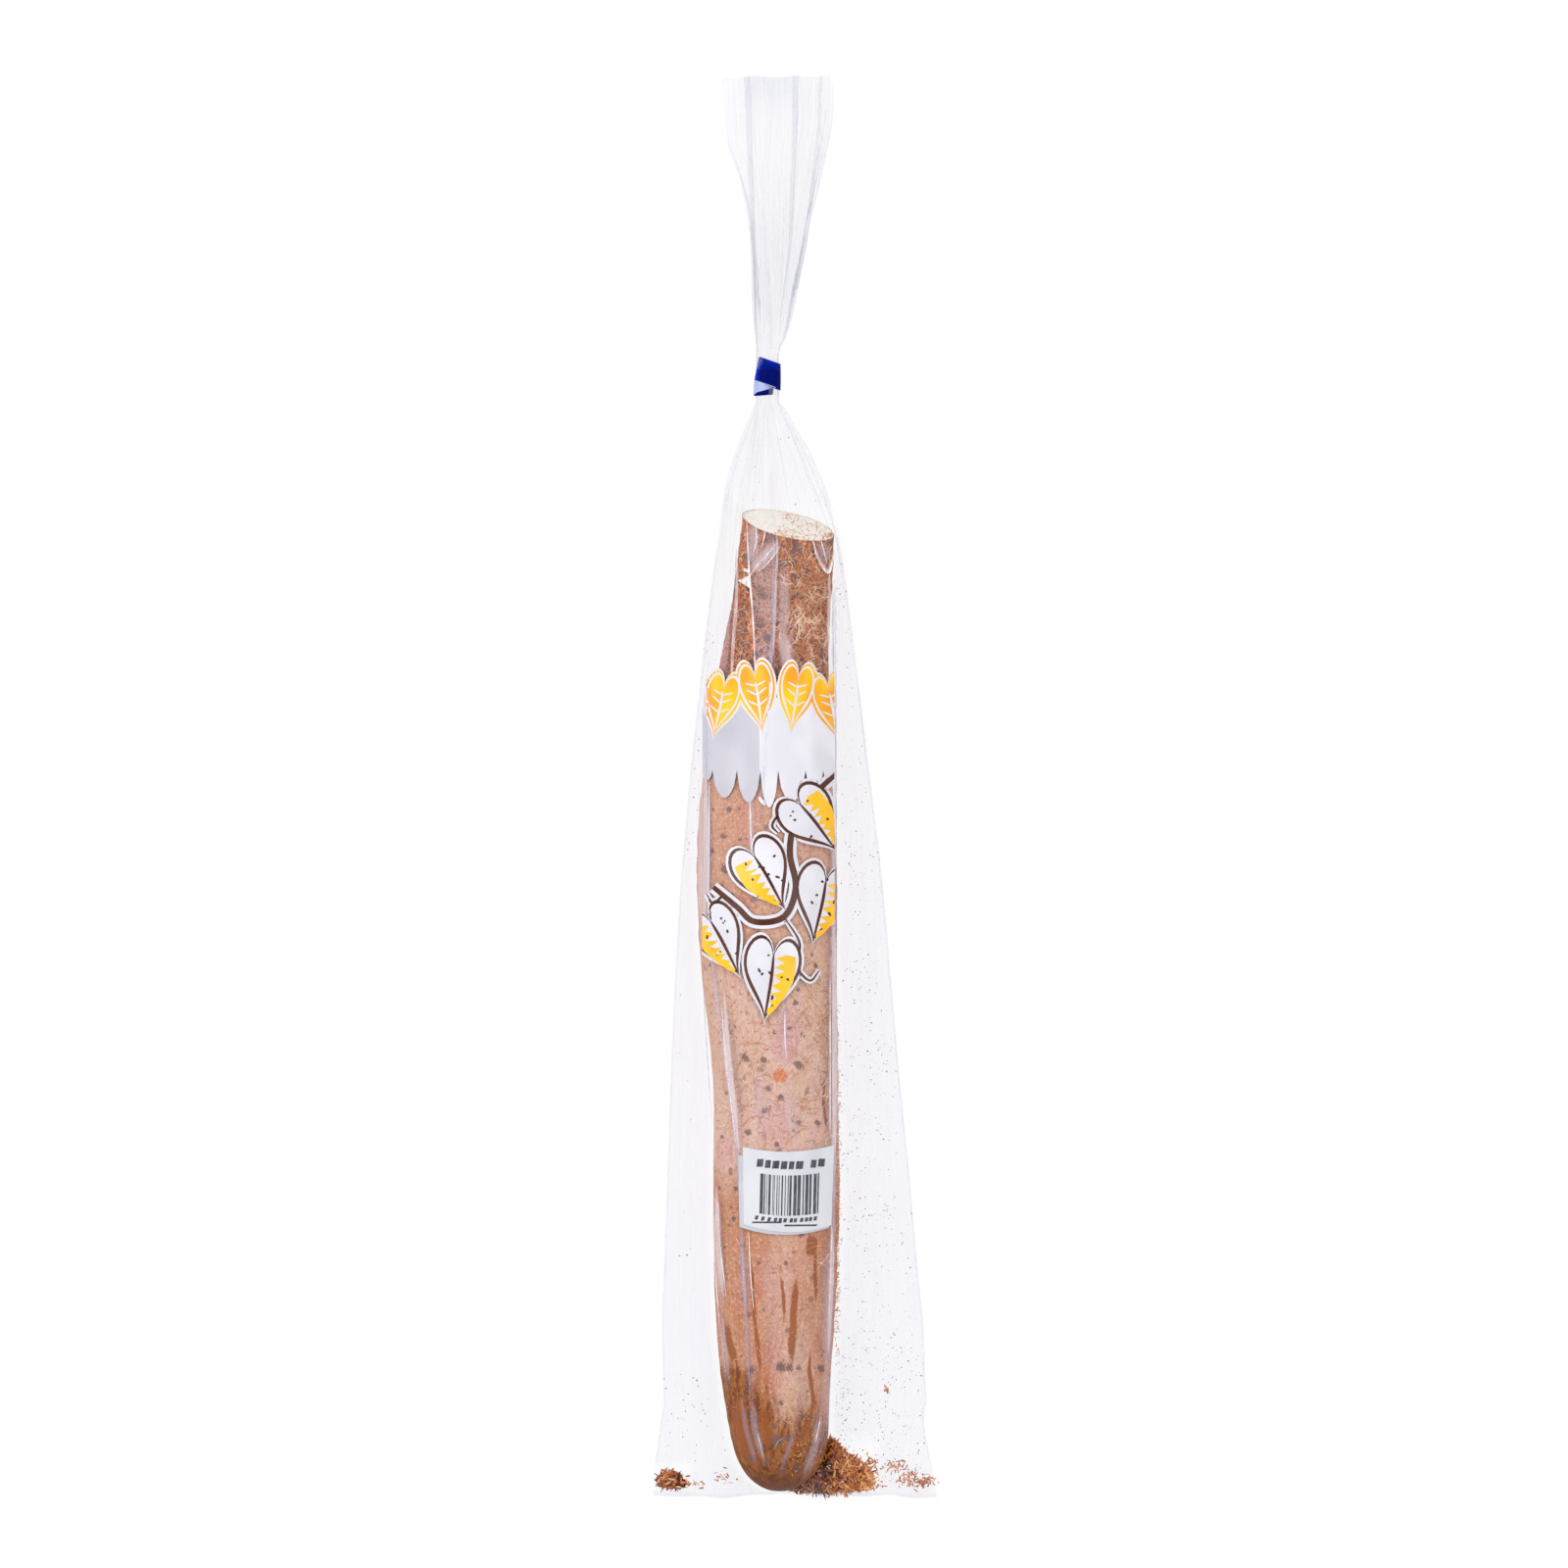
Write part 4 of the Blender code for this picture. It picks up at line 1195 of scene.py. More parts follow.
            along /= np.maximum(np.hypot(*along.T), 1e-9)[:, None]
            outward = np.stack([-along[:, 1], along[:, 0]], -1)
            if y <= self.seal_y:
                push = 0.0
            ring = ring + outward * (push + off + pleat * waves * smooth_flap)[:, None]
            points[row] = np.stack([ring[:, 0], np.full(around, y), ring[:, 1]], -1)
            veil[row, : self.over] = layers[:-1]
        self.crinkle(points)
        lap = np.broadcast_to(turn, veil.shape)
        on_top = np.broadcast_to(np.arange(around) < self.over, veil.shape)
        paint = {"veil": self.veil(points, veil, on_top), "lap": lap, "gather": self.gathered(points)}
        faces: list[tuple[int, ...]] = [f[::-1] for f in tube_faces(len(ys), around)]
        faces += self.seal_faces()
        piece = make_piece("film_bag", points.reshape(-1, 3), faces, finish.material(), 180, paint)
        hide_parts("bag")
        return piece

    def seal_outline(self) -> tuple[Array, Array]:
        """The sealed strip's outline: two layers of film, one on the other."""
        _, left, right, _ = self.edges[0]
        x = np.linspace(left, right, 60) * MM
        upper = np.stack([x, np.full(60, 0.62 * MM)], -1)
        lower = np.stack([x, np.full(60, 0.3 * MM)], -1)[::-1]
        return upper, lower

    def seal_faces(self) -> list[tuple[int, ...]]:
        """Closes the first ring flat, pairing its upper and lower points by where they are."""
        around = self.over + self.under
        upper = list(range(self.over + 1))
        lower = [0] + list(range(around - 1, self.over - 1, -1))
        place = {"u": self.share_along(self.over, True), "l": self.share_along(self.under, False)}
        faces, i, j = [], 0, 0
        while i < self.over or j < self.under:
            go_up = j >= self.under or (i < self.over and place["u"][i + 1] <= place["l"][j + 1])
            corner = upper[i + 1] if go_up else lower[j + 1]
            face = (upper[i], corner, lower[j])
            if len(set(face)) == 3:
                faces.append(face)
            if go_up:
                i += 1
            else:
                j += 1
        return faces

    @staticmethod
    def flap(x: Array) -> Array:
        """Where the mouth of the tail lies smooth: its left flap and its middle panel."""
        left = ramp(-20, -24, x)
        middle = ramp(-21, -17, x) * ramp(1, -3, x)
        return np.clip(left + middle, 0, 1)

    def crinkle(self, points: Array) -> None:
        """Adds the film's small wrinkles and its uneven ends, in place.

        Args:
            points: All rings, as rows of points.
        """
        x, y, z = points[..., 0].copy(), points[..., 1].copy(), points[..., 2]
        long_waves = swell(points, (9 * MM, 120 * MM, 9 * MM), 1.3)
        short_waves = swell(points, (4 * MM, 26 * MM, 5 * MM), 2.9)
        middle, _, half_width, _ = self.tuber.section(y - self.tuber.tip_y)
        free = ramp(0, 10, np.abs(x - middle) - half_width)
        free = np.maximum(free, ramp(100, 125, y))
        size = (0.25 + 0.75 * free) * eased(self.seal_y, -285 * MM, y) * ramp(0.5, 3, z)
        lift = size * (0.55 * long_waves + 0.28 * short_waves) * MM
        lowest = np.where(free < 0.2, -0.35 * MM, -1)
        points[..., 2] = np.maximum(z + np.maximum(lift, lowest), self.floor_gap)
        end = ramp(-282, -301, y)
        ripple = 0.5 * np.cos(x / (16 * MM)) + 0.6 * np.cos(x / (7.1 * MM) + 1.1)
        ripple += 0.35 * np.cos(x / (3.2 * MM))
        points[..., 1] += end * ripple * 0.9 * MM
        points[..., 2] += end * np.maximum(np.sin(x / (9.5 * MM) + 0.7), 0) * 1.1 * MM
        mouth = ramp(285, 302, y)
        slope = np.interp(x, *(np.array(self.mouth_cut) * MM).T)
        slope += 0.35 * MM * np.cos(x / (2.6 * MM))
        points[..., 1] += mouth * slope

    @staticmethod
    def gathered(points: Array) -> Array:
        """How closely gathered the film is at each point, from 0 to 1."""
        y = points[..., 1]
        return 0.03 + 0.50 * ramp(30, 130, y) + 0.20 * ramp(130, 165, y)

    def veil(self, points: Array, layers: Array, on_top: Array) -> Array:
        """How milky the film looks at each point.

        Args:
            points: All rings, as rows of points.
            layers: How folded the film is at each point.
            on_top: Whether each is on the upper side.

        Returns:
            How solid it looks, from 0 to 1.
        """
        x, y = points[..., 0], points[..., 1]
        middle, _, half_width, _ = self.tuber.section(y - self.tuber.tip_y)
        wing = ramp(0, 4, np.abs(x - middle) - half_width)
        milky = 0.045 + 0.04 * np.maximum(wing, ramp(112, 120, y))
        milky -= 0.035 * (1 - wing) * ramp(-150, -200, y)
        milky += 0.03 * ramp(112, 125, y) + 0.03 * ramp(180, 200, y) * ramp(250, 220, y)
        milky += (0.12 - 0.105 * ramp(150, 200, y)) * layers
        milky += 0.01 * ramp(90, 125, y) - 0.02 * ramp(235, 265, y) * ramp(-18, -23, x)
        milky -= 0.015 * ramp(225, 270, y) * self.flap(x) * ramp(-23, -18, x)
        # Painted shade: the middle panel at the mouth is made more solid, for the shade inside the open mouth
        milky += 0.12 * ramp(282, 302, y) * ramp(-23, -17, x) * ramp(2, -4, x)
        milky += 0.05 * ramp(-299, -301, y)
        dusty = ramp(9, 13, x) * ramp(38, 33, x) * ramp(-272, -280, y)
        dusty += ramp(-43, -46, x) * ramp(-286, -289, y)
        milky -= 0.06 * dusty * ramp(-299.5, -298, y)
        # Pale bands on the upper side: milkier film, partly painted sheen and reflection
        bands = np.zeros(x.shape)
        for strength, half, path in VEIL_AND_SHEEN_BANDS:
            bands = np.maximum(bands, strength * soft_band(x, y, path, half * PIXEL, 0.3))
        return milky + bands * on_top


class TuckLook(Enum):
    """How a strip along a fold of the film looks: its colour, and how solid it is at least and at most."""

    # A painted highlight along a crease
    GLINT = ((0.92, 0.90, 0.94), 0.36, 0.84)
    # Film lying doubled, and in places a painted sheen
    DOUBLED_AND_SHEEN = ((0.72, 0.63, 0.66), 0.30, 0.54)
    # A painted shade line beside a fold
    SHADE = ((0.14, 0.10, 0.14), 0.25, 0.72)
    FAINT = ((0.44, 0.43, 0.54), 0.08, 0.27)

    def material(self) -> Material:
        """Builds the strip's finish, a painted highlight for GLINT and a painted shade line for SHADE."""
        colour, least, most = self.value
        bench = Bench(f"film_{self.name.lower()}")
        broken = bench.grain(bench.stretched(1.5, 11, 1.5), 3, 0.7)
        bench.relief(bench.grain(bench.stretched(1, 12, 1), 2), 0.1)
        alpha = bench.between(0.36, 0.62, broken, least, most)
        return bench.dress(Base_Color=colour, Alpha=alpha, Roughness=0.2, Specular_IOR_Level=0.4)


# Photo pixels: the film's crisp folded edges, as painted highlights, doubled film with some painted sheen,
# painted shade lines and faint lines: width in millimetres and path, by look
TUCKS: dict[TuckLook, Sequence[tuple[float, Path]]] = {
    TuckLook.GLINT: (
        (0.75, ((762, 532), (763, 556), (765, 592), (767, 614), (769.4, 652), (770.5, 690))),
        (0.5, ((794, 553), (783, 566), (772, 578), (765, 588))),
        (0.4, ((796, 558), (786, 572), (774, 584))), (1.4, ((758, 581), (766, 583.5))),
        (1.6, ((774, 813), (781, 822))),
        (0.9, ((829, 551), (833, 566), (840, 580), (846, 584), (849, 575), (851, 562))),
        (0.5, ((838, 552), (841, 564), (844, 576))), (0.4, ((781, 536), (780, 548), (776, 562))),
        (0.4, ((771, 536), (772, 552), (768, 566))), (0.45, ((724, 792), (723.5, 860), (723, 940))),
        (0.5, ((765, 806), (766, 842), (767, 880))), (0.45, ((801, 1030), (801, 1060), (803, 1080))),
        (0.4, ((736, 1022), (739, 1060), (743, 1100), (751, 1166))),
        (0.45, ((847, 1000), (847, 1080), (847, 1160))), (0.5, ((733, 1225), (734, 1262), (741, 1322))),
        (0.45, ((728, 1260), (730, 1300), (734, 1350))), (0.4, ((764, 1256), (766, 1300), (769, 1336))),
        (0.5, ((848.5, 1250), (848, 1290), (846, 1340))), (0.3, ((773, 1462), (779, 1487))),
        (0.5, ((837, 1448), (832, 1472))),
    ),
    TuckLook.DOUBLED_AND_SHEEN: (
        (1.1, ((792.5, 545), (793, 566), (791, 614), (790, 647), (789, 668))),
        (2.2, ((739, 1012), (742, 1060), (746, 1100), (750, 1140), (754, 1174))),
        (2.4, ((852, 960), (851.5, 1080), (852, 1175))), (1.7, ((846, 588), (846.5, 640), (847, 705))),
        (1.5, ((752.5, 574), (751, 620), (748, 660), (746, 705))),
        (1.5, ((830, 552), (834, 566), (840.5, 579), (846, 583), (849, 574), (851, 562))),
        (1.9, ((731, 1210), (732, 1262), (738, 1322))), (1.5, ((720, 770), (720, 860), (719, 960))),
        (1.9, ((849, 1252), (848.5, 1300), (845, 1380))),
    ),
    TuckLook.SHADE: (
        (0.5, ((751.5, 560), (750.4, 585), (748, 620), (744.5, 652), (741.5, 700))),
        (0.45, ((848.6, 990), (848.5, 1080), (848.3, 1160))),
        (0.30, ((717, 980), (719, 1030), (722, 1080), (727, 1150))),
        (0.30, ((852.5, 700), (853, 800), (854, 960))), (0.30, ((849.5, 600), (850, 650), (851, 705))),
        (0.26, ((734, 1330), (740, 1385), (744, 1420))),
    ),
    TuckLook.FAINT: (
        (0.6, ((735.5, 80), (738, 130), (746, 165), (762, 215), (767, 260), (768, 350))),
        (0.5, ((766.5, 80), (767, 160), (769, 240), (772, 350))),
        (0.4, ((770, 80), (770, 130), (772, 180))),
        (0.5, ((811, 84), (814, 110), (811, 160), (808, 240))),
        (1.6, ((843, 110), (837, 150), (831, 180), (824, 220))),
        (0.5, ((850, 116), (840, 165), (826, 240), (812, 320))),
        (1.5, ((784, 260), (786, 320), (787, 355))), (0.5, ((777, 200), (781, 260), (783, 330))),
        (0.4, ((800, 180), (799, 250), (795, 340))),
        (0.5, ((771, 412), (756, 452), (742, 500), (728, 580), (716, 680))),
        (0.4, ((774, 415), (764, 460), (752, 520), (744, 600))),
        (0.4, ((780, 415), (776, 470), (768, 530))), (0.4, ((788, 415), (796, 460), (806, 520))),
        (0.5, ((794, 412), (812, 450), (832, 500), (848, 545))),
        (0.4, ((797, 410), (818, 445), (842, 500), (860, 580), (872, 680))),
        (0.5, ((735, 520), (727, 600), (714, 700), (704, 800))),
        (0.5, ((872, 640), (878, 720), (886, 800))),
    ),
}
# Photo pixels: soft pale bands where the film stands off the skin, with painted sheen and reflections along
# some of them: strength, half width, path
VEIL_AND_SHEEN_BANDS: Sequence[tuple[float, float, Path]] = (
    (0.12, 11, ((779, 545), (779, 600), (780, 650))), (0.10, 10, ((780, 640), (780, 700))),
    (0.34, 6, ((768, 530), (769, 560), (768, 582))), (0.16, 4, ((786, 538), (787, 560), (784, 580))),
    (0.48, 6, ((797, 551), (782, 566), (765, 586))), (0.22, 5, ((800, 568), (801, 620), (798, 660))),
    (0.36, 6, ((796, 636), (802, 668), (809, 704))), (0.18, 4, ((742, 600), (741, 652), (736, 705))),
    (0.20, 5, ((838, 550), (844, 576))), (0.44, 6, ((718, 770), (719, 870), (718, 965))),
    (0.22, 3, ((766, 795), (767, 890))),
    (0.34, 3.2, ((739, 1010), (743, 1083), (752, 1143), (756, 1170))),
    (0.14, 4, ((800, 1010), (801, 1095))), (0.12, 7, ((774, 1080), (778, 1166))),
    (0.12, 8, ((806, 1100), (810, 1168))),
    (0.26, 2.6, ((850, 780), (850, 950), (850, 1120), (849, 1340))),
    (0.36, 4.4, ((731, 1215), (732, 1270), (738, 1340))), (0.16, 5, ((757, 1258), (761, 1345))),
    (0.24, 5, ((845, 1254), (845, 1330), (842, 1410))),
    (0.06, 8, ((783, 1256), (786, 1330), (790, 1430))),
    (0.08, 6, ((818, 1340), (818, 1420), (812, 1460))),
    (0.08, 5, ((761, 1340), (766, 1400), (768, 1440))),
    (0.26, 3, ((734, 1330), (740, 1385), (744, 1420))),
    (0.26, 3.4, ((768, 1424), (770, 1456), (780, 1494))),
    (0.26, 4.5, ((839, 1434), (832, 1475), (818, 1514))),
    (0.14, 5, ((843, 1390), (842, 1450), (838, 1490))),
    (0.20, 2.4, ((756, 1424), (762, 1460), (773, 1500))),
    (0.20, 2.4, ((813, 1456), (800, 1490), (796, 1506))), (0.16, 4, ((789, 470), (790, 520), (791, 545))),
)


# Millimetres: places where the sawdust props the film up from inside
PROPPED_FILM = (
    (-57.5, -289.0, 5.6), (-52.0, -288.0, 8.0), (-56.5, -297.4, 4.6), (-47.0, -297.4, 5.8),
    (45.0, -297.4, 5.8), (46.0, -290.0, 8.0), (54.0, -288.5, 7.4), (57.0, -291.0, 5.6),
    (56.5, -297.4, 4.4), (14.0, -298.8, 6.4), (31.0, -298.8, 6.0), (-58.0, -298.0, 0.5),
    (-57.8, -286.0, 0.5), (58.0, -298.0, 0.5), (57.8, -288.0, 0.5),
)


class Ground:
    """The height of what lies under things that are laid on it, seen from above."""

    def __init__(self, *pieces: Piece) -> None:
        """Reads the pieces' meshes.

        Args:
            pieces: What things are laid on.
        """
        points: list[Vector] = []
        faces: list[list[int]] = []
        for piece in pieces:
            start = len(points)
            points += [v.co.copy() for v in piece.data.vertices]
            faces += [[start + i for i in polygon.vertices] for polygon in piece.data.polygons]
        self.tree = BVHTree.FromPolygons(points, faces)

    def height(self, x: float, y: float) -> float:
        """The highest z of the pieces at a place, or the floor's where there is none."""
        hit = self.tree.ray_cast(Vector((x, y, 0.3)), Vector((0, 0, -1)))[0]
        return hit.z if hit else 0.0

    def underside(self, x: float, y: float) -> float:
        """The lowest z of the pieces at a place, or the floor's where there is none."""
        hit = self.tree.ray_cast(Vector((x, y, -0.01)), Vector((0, 0, 1)))[0]
        return hit.z if hit else 0.0


def cut_off(outline: Outline, limit: float, sign: int) -> Outline:
    """Cuts an outline along x = limit.

    Args:
        outline: The corners.
        limit: Where it is cut, in metres.
        sign: 1 keeps what is below the limit, -1 what is above it.

    Returns:
        The corners that are left.
    """
    kept: Outline = []
    for (ax, ay), (bx, by) in zip(outline, outline[1:] + outline[:1]):
        a_in, b_in = (limit - ax) * sign >= 0, (limit - bx) * sign >= 0
        if a_in:
            kept.append((ax, ay))
        if a_in != b_in:
            share = (limit - ax) / (bx - ax)
            kept.append((limit, ay + (by - ay) * share))
    return kept


def flat_patch(outline: Outline, height: Height, lift: float, grid: float = 1.1 * MM) -> tuple[list, list]:
    """Fills an outline with triangles that follow a surface.

    Args:
        outline: Its corners in plan, in metres.
        height: The surface's z at a place.
        lift: How far above it the patch lies.
        grid: The spacing of its points.

    Returns:
        Its points and faces.
    """
    corners: Outline = []
    for (ax, ay), (bx, by) in zip(outline, outline[1:] + outline[:1]):
        steps = max(1, int(math.hypot(bx - ax, by - ay) / grid))
        corners += [(ax + (bx - ax) * k / steps, ay + (by - ay) * k / steps) for k in range(steps)]
    xs, ys = [p[0] for p in corners], [p[1] for p in corners]
    inner = [
        (x, y)
        for x in np.arange(min(xs) + grid / 2, max(xs), grid)
        for y in np.arange(min(ys) + grid / 2, max(ys), grid)
    ]
    loop = list(range(len(corners)))
    points, _, faces, *_ = delaunay_2d_cdt([Vector(p) for p in corners + inner], [], [loop], 1, 1e-7)
    return [(p.x, p.y, height(p.x, p.y) + lift) for p in points], faces


def press(
    name: str,
    shapes: Iterable[tuple[Outline, float]],
    height: Height,
    grid: float,
    material: Material,
    sharp_deg: float = 60,
    lowest: float = -1.0,
) -> Piece:
    """Makes one piece of many outlines that are laid on a surface.

    Args:
        name: The piece's name.
        shapes: Each outline and how far above the surface it lies.
        height: The surface's z at a place.
        grid: The spacing of the points.
        material: The piece's material.
        sharp_deg: Edges that turn more than this stay sharp.
        lowest: Faces that reach below this z are left out.

    Returns:
        The new object.
    """
    mesh = Growing()
    for outline, lift in shapes:
        points, faces = flat_patch(outline, height, lift, grid)
        mesh.add(points, [face for face in faces if min(points[i][2] for i in face) > lowest])
    return make_piece(name, mesh.points, mesh.faces, material, sharp_deg)


def slab(points: list, faces: list, thickness: float) -> tuple[list, list]:
    """Gives a patch an underside and sides.

    Args:
        points: The patch's points.
        faces: Its faces.
        thickness: How far below it the underside lies.

    Returns:
        The closed body's points and faces.
    """
    count = len(points)
    edges: dict[tuple[int, int], tuple[int, int]] = {}
    upward = []
    for face in faces:
        a, b, c = (points[i] for i in face[:3])
        up = (b[0] - a[0]) * (c[1] - a[1]) - (b[1] - a[1]) * (c[0] - a[0]) > 0
        upward.append(tuple(face) if up else tuple(face)[::-1])
    for face in upward:
        for a, b in zip(face, face[1:] + face[:1]):
            if (b, a) in edges:
                del edges[(b, a)]
            else:
                edges[(a, b)] = (a, b)
    below = [(x, y, z - thickness) for x, y, z in points]
    under = [tuple(i + count for i in face[::-1]) for face in upward]
    sides = [(b, a, a + count, b + count) for a, b in edges]
    return points + below, upward + under + sides


def ribbon_outline(path: Path, width: float, ends: float = 0.3, steps: int = 8) -> Outline:
    """The outline of a stroke that tapers at its ends.

    Args:
        path: The stroke's middle line, as photo pixels.
        width: Its greatest width, in metres.
        ends: The share of the width left at its ends.
        steps: Points for each stretch of the path.

    Returns:
        Its corners.
    """
    knots = [Vector(seen(*p)) for p in path]
    knots = [knots[0] * 2 - knots[1], *knots, knots[-1] * 2 - knots[-2]]
    line = []
    for i in range(1, len(knots) - 2):
        for k in range(steps):
            line.append(spline_point(knots[i - 1 : i + 3], k / steps))
    line.append(knots[-2])
    left, right = [], []
    for i, point in enumerate(line):
        along = (line[min(i + 1, len(line) - 1)] - line[max(i - 1, 0)]).normalized()
        share = i / (len(line) - 1)
        half = width / 2 * (ends + (1 - ends) * math.sin(math.pi * share) ** 0.6)
        left.append((point.x - along.y * half, point.y + along.x * half))
        right.append((point.x + along.y * half, point.y - along.x * half))
    return left + right[::-1]


def spline_point(knots: Sequence[Vector], t: float) -> Vector:
    """A point on the smooth curve between the second and third of four knots."""
    a, b, c, d = knots
    return (b * 2 + (c - a) * t + (a * 2 - b * 5 + c * 4 - d) * t**2 + (b * 3 - a - c * 3 + d) * t**3) / 2


@dataclass
class FilmTucks:
    """The crisp folded edges of the film as thin strips on it, with painted highlights where they catch the
    light and painted shade where they turn it away.
    """

    lift: float = 0.06 * MM
    edge_width: float = 0.55 * MM
    grid: float = 0.6 * MM
    # Strips that lie lower than this above the floor are left out
    lowest: float = 0.26 * MM
    # Millimetres: where the strips along the bag's edges start and end
    edge_from: float = -296
    edge_to: float = 130
    # Photo pixels: a painted highlight on a corner of film that stands up and shines
    flap: Path = ((753, 592.5), (766, 587), (764.5, 600))

    def build(self, height: Height, edges: Rows) -> list[Piece]:
        """Lays all the strips on the film, one piece for each look.

        Args:
            height: The film's height at a place.
            edges: The bag's left and right edges, as rows of place along it, left and right in millimetres.

        Returns:
            The pieces.
        """
        rows = [row for row in edges if self.edge_from < row[0] < self.edge_to]
        pieces = []
        for look in TuckLook:
            ends = 0.12 if look is TuckLook.DOUBLED_AND_SHEEN else 0.2
            outlines = [ribbon_outline(path, width * MM, ends) for width, path in TUCKS[look]]
            if look is TuckLook.GLINT:
                outlines.append([seen(*corner) for corner in self.flap])
            if look is TuckLook.FAINT:
                outlines += [self.bag_edge(rows, side, inset) for side, inset in ((1, 0.7), (2, -0.7))]
            shapes = [(outline, self.lift) for outline in outlines]
            name = f"film_{look.name.lower()}"
            piece = press(name, shapes, height, self.grid, look.material(), 180, self.lowest)
            pieces.append(piece)
        return pieces

    def bag_edge(self, rows: Rows, side: int, inset: float) -> Outline:
        """A strip along one edge of the bag.

        Args:
            rows: Places along the bag, its left and right edges, in millimetres.
            side: 1 for the left edge and 2 for the right one.
            inset: How far in from the edge its middle lies.

        Returns:
            The strip's corners.
        """
        line = [(row[side] * MM / PIXEL, row[0] * MM / PIXEL) for row in rows]
        line = [(MIDDLE_PIXEL_X + x + inset * MM / PIXEL, MIDDLE_PIXEL_Y - y) for x, y in line]
        return ribbon_outline(line, self.edge_width, 0.6)


class Ink(Enum):
    """The print's inks: base colour, a second colour that it drifts to, and roughness."""

    # The band's white, printed darker left of the crease as painted shade beside the film's fold
    WHITE = ((0.50, 0.485, 0.54), (0.455, 0.445, 0.50), 0.3)
    SNOW = ((0.68, 0.67, 0.72), (0.61, 0.60, 0.65), 0.3)
    AMBER = ((0.78, 0.30, 0.012), (0.86, 0.50, 0.010), 0.28)
    GOLD = ((0.80, 0.38, 0.01), (0.86, 0.48, 0.02), 0.28)
    BROWN = ((0.060, 0.014, 0.008), (0.085, 0.022, 0.012), 0.3)

    def material(self) -> Material:
        """Builds the ink."""
        base, drift, gloss = self.value
        bench = Bench(f"ink_{self.name.lower()}")
        broad = bench.grain(bench.stretched(16, 22, 16), 1)
        press = bench.grain(bench.stretched(0.5, 0.5, 0.5), 2)
        colour = bench.stain(base, drift, broad, 0.38, 0.62)
        worn = bench.stain(colour, (0.9, 0.9, 0.9), press, 0.6, 0.8, 0.10)
        bench.relief(bench.grain(bench.stretched(3, 18, 3), 2), 0.12)
        return bench.dress(Base_Color=worn, Roughness=gloss, Specular_IOR_Level=0.2)


@dataclass(frozen=True)
class LeafMark:
    """One heart-shaped leaf of the print: its middle, width and height in photo pixels, and its turn."""

    across: float
    down: float
    width: float
    height: float
    turn: float

    def outline(self, grow: float = 0.0) -> Outline:
        """The leaf's outline, moved outwards by grow metres.

        Args:
            grow: How far it is moved.

        Returns:
            Its corners.
        """
        cos, sin = math.cos(math.radians(self.turn)), math.sin(math.radians(self.turn))
        x0, y0 = seen(self.across, self.down)
        corners = []
        for k in range(48):
            t = math.tau * k / 48
            x = math.sin(t) ** 3 * self.width / 2 * PIXEL
            y = (13 * math.cos(t) - 5 * math.cos(2 * t) - 2 * math.cos(3 * t) - math.cos(4 * t)) / 29
            y = (y + 0.08) * self.height * PIXEL
            reach = math.hypot(x, y)
            x, y = x * (1 + grow / reach), y * (1 + grow / reach)
            corners.append((x0 + x * cos - y * sin, y0 + x * sin + y * cos))
        return corners

    def at(self, across: float, up: float) -> tuple[float, float]:
        """A photo pixel in the leaf, from shares of its half width and its height."""
        cos, sin = math.cos(math.radians(self.turn)), math.sin(math.radians(self.turn))
        x, y = across * self.width / 2, up * self.height
        return self.across + x * cos - y * sin, self.down - (x * sin + y * cos)

    def stroke(self, places: Path, width: float, ends: float = 0.3) -> Outline:
        """A stroke through places in the leaf, which are given as for at."""
        return ribbon_outline([self.at(*place) for place in places], width, ends)

    def shaded_half(self, side: int, draw: Draw) -> Outline:
        """The brushed colour along one side of the leaf, with a ragged inner edge.

        Args:
            side: 1 for the right half and -1 for the left one.
            draw: The source of chance.

        Returns:
            Its corners.
        """
        rim, ragged = [], []
        for k in range(15):
            up = 0.30 - 0.74 * k / 14
            half = 0.86 * math.sqrt(max(0.0, 1 - ((up - 0.12) / 0.58) ** 2))
            half *= 0.55 + 0.45 * min(1, (up + 0.52) * 2)
            rim.append(seen(*self.at(side * max(half, 0.06), up)))
            inner = half * (0.12 if k % 2 else 0.6) * draw.uniform(0.7, 1.2)
            ragged.append(seen(*self.at(side * max(inner, 0.02), up + draw.uniform(-0.02, 0.02))))
        return rim + ragged[::-1]


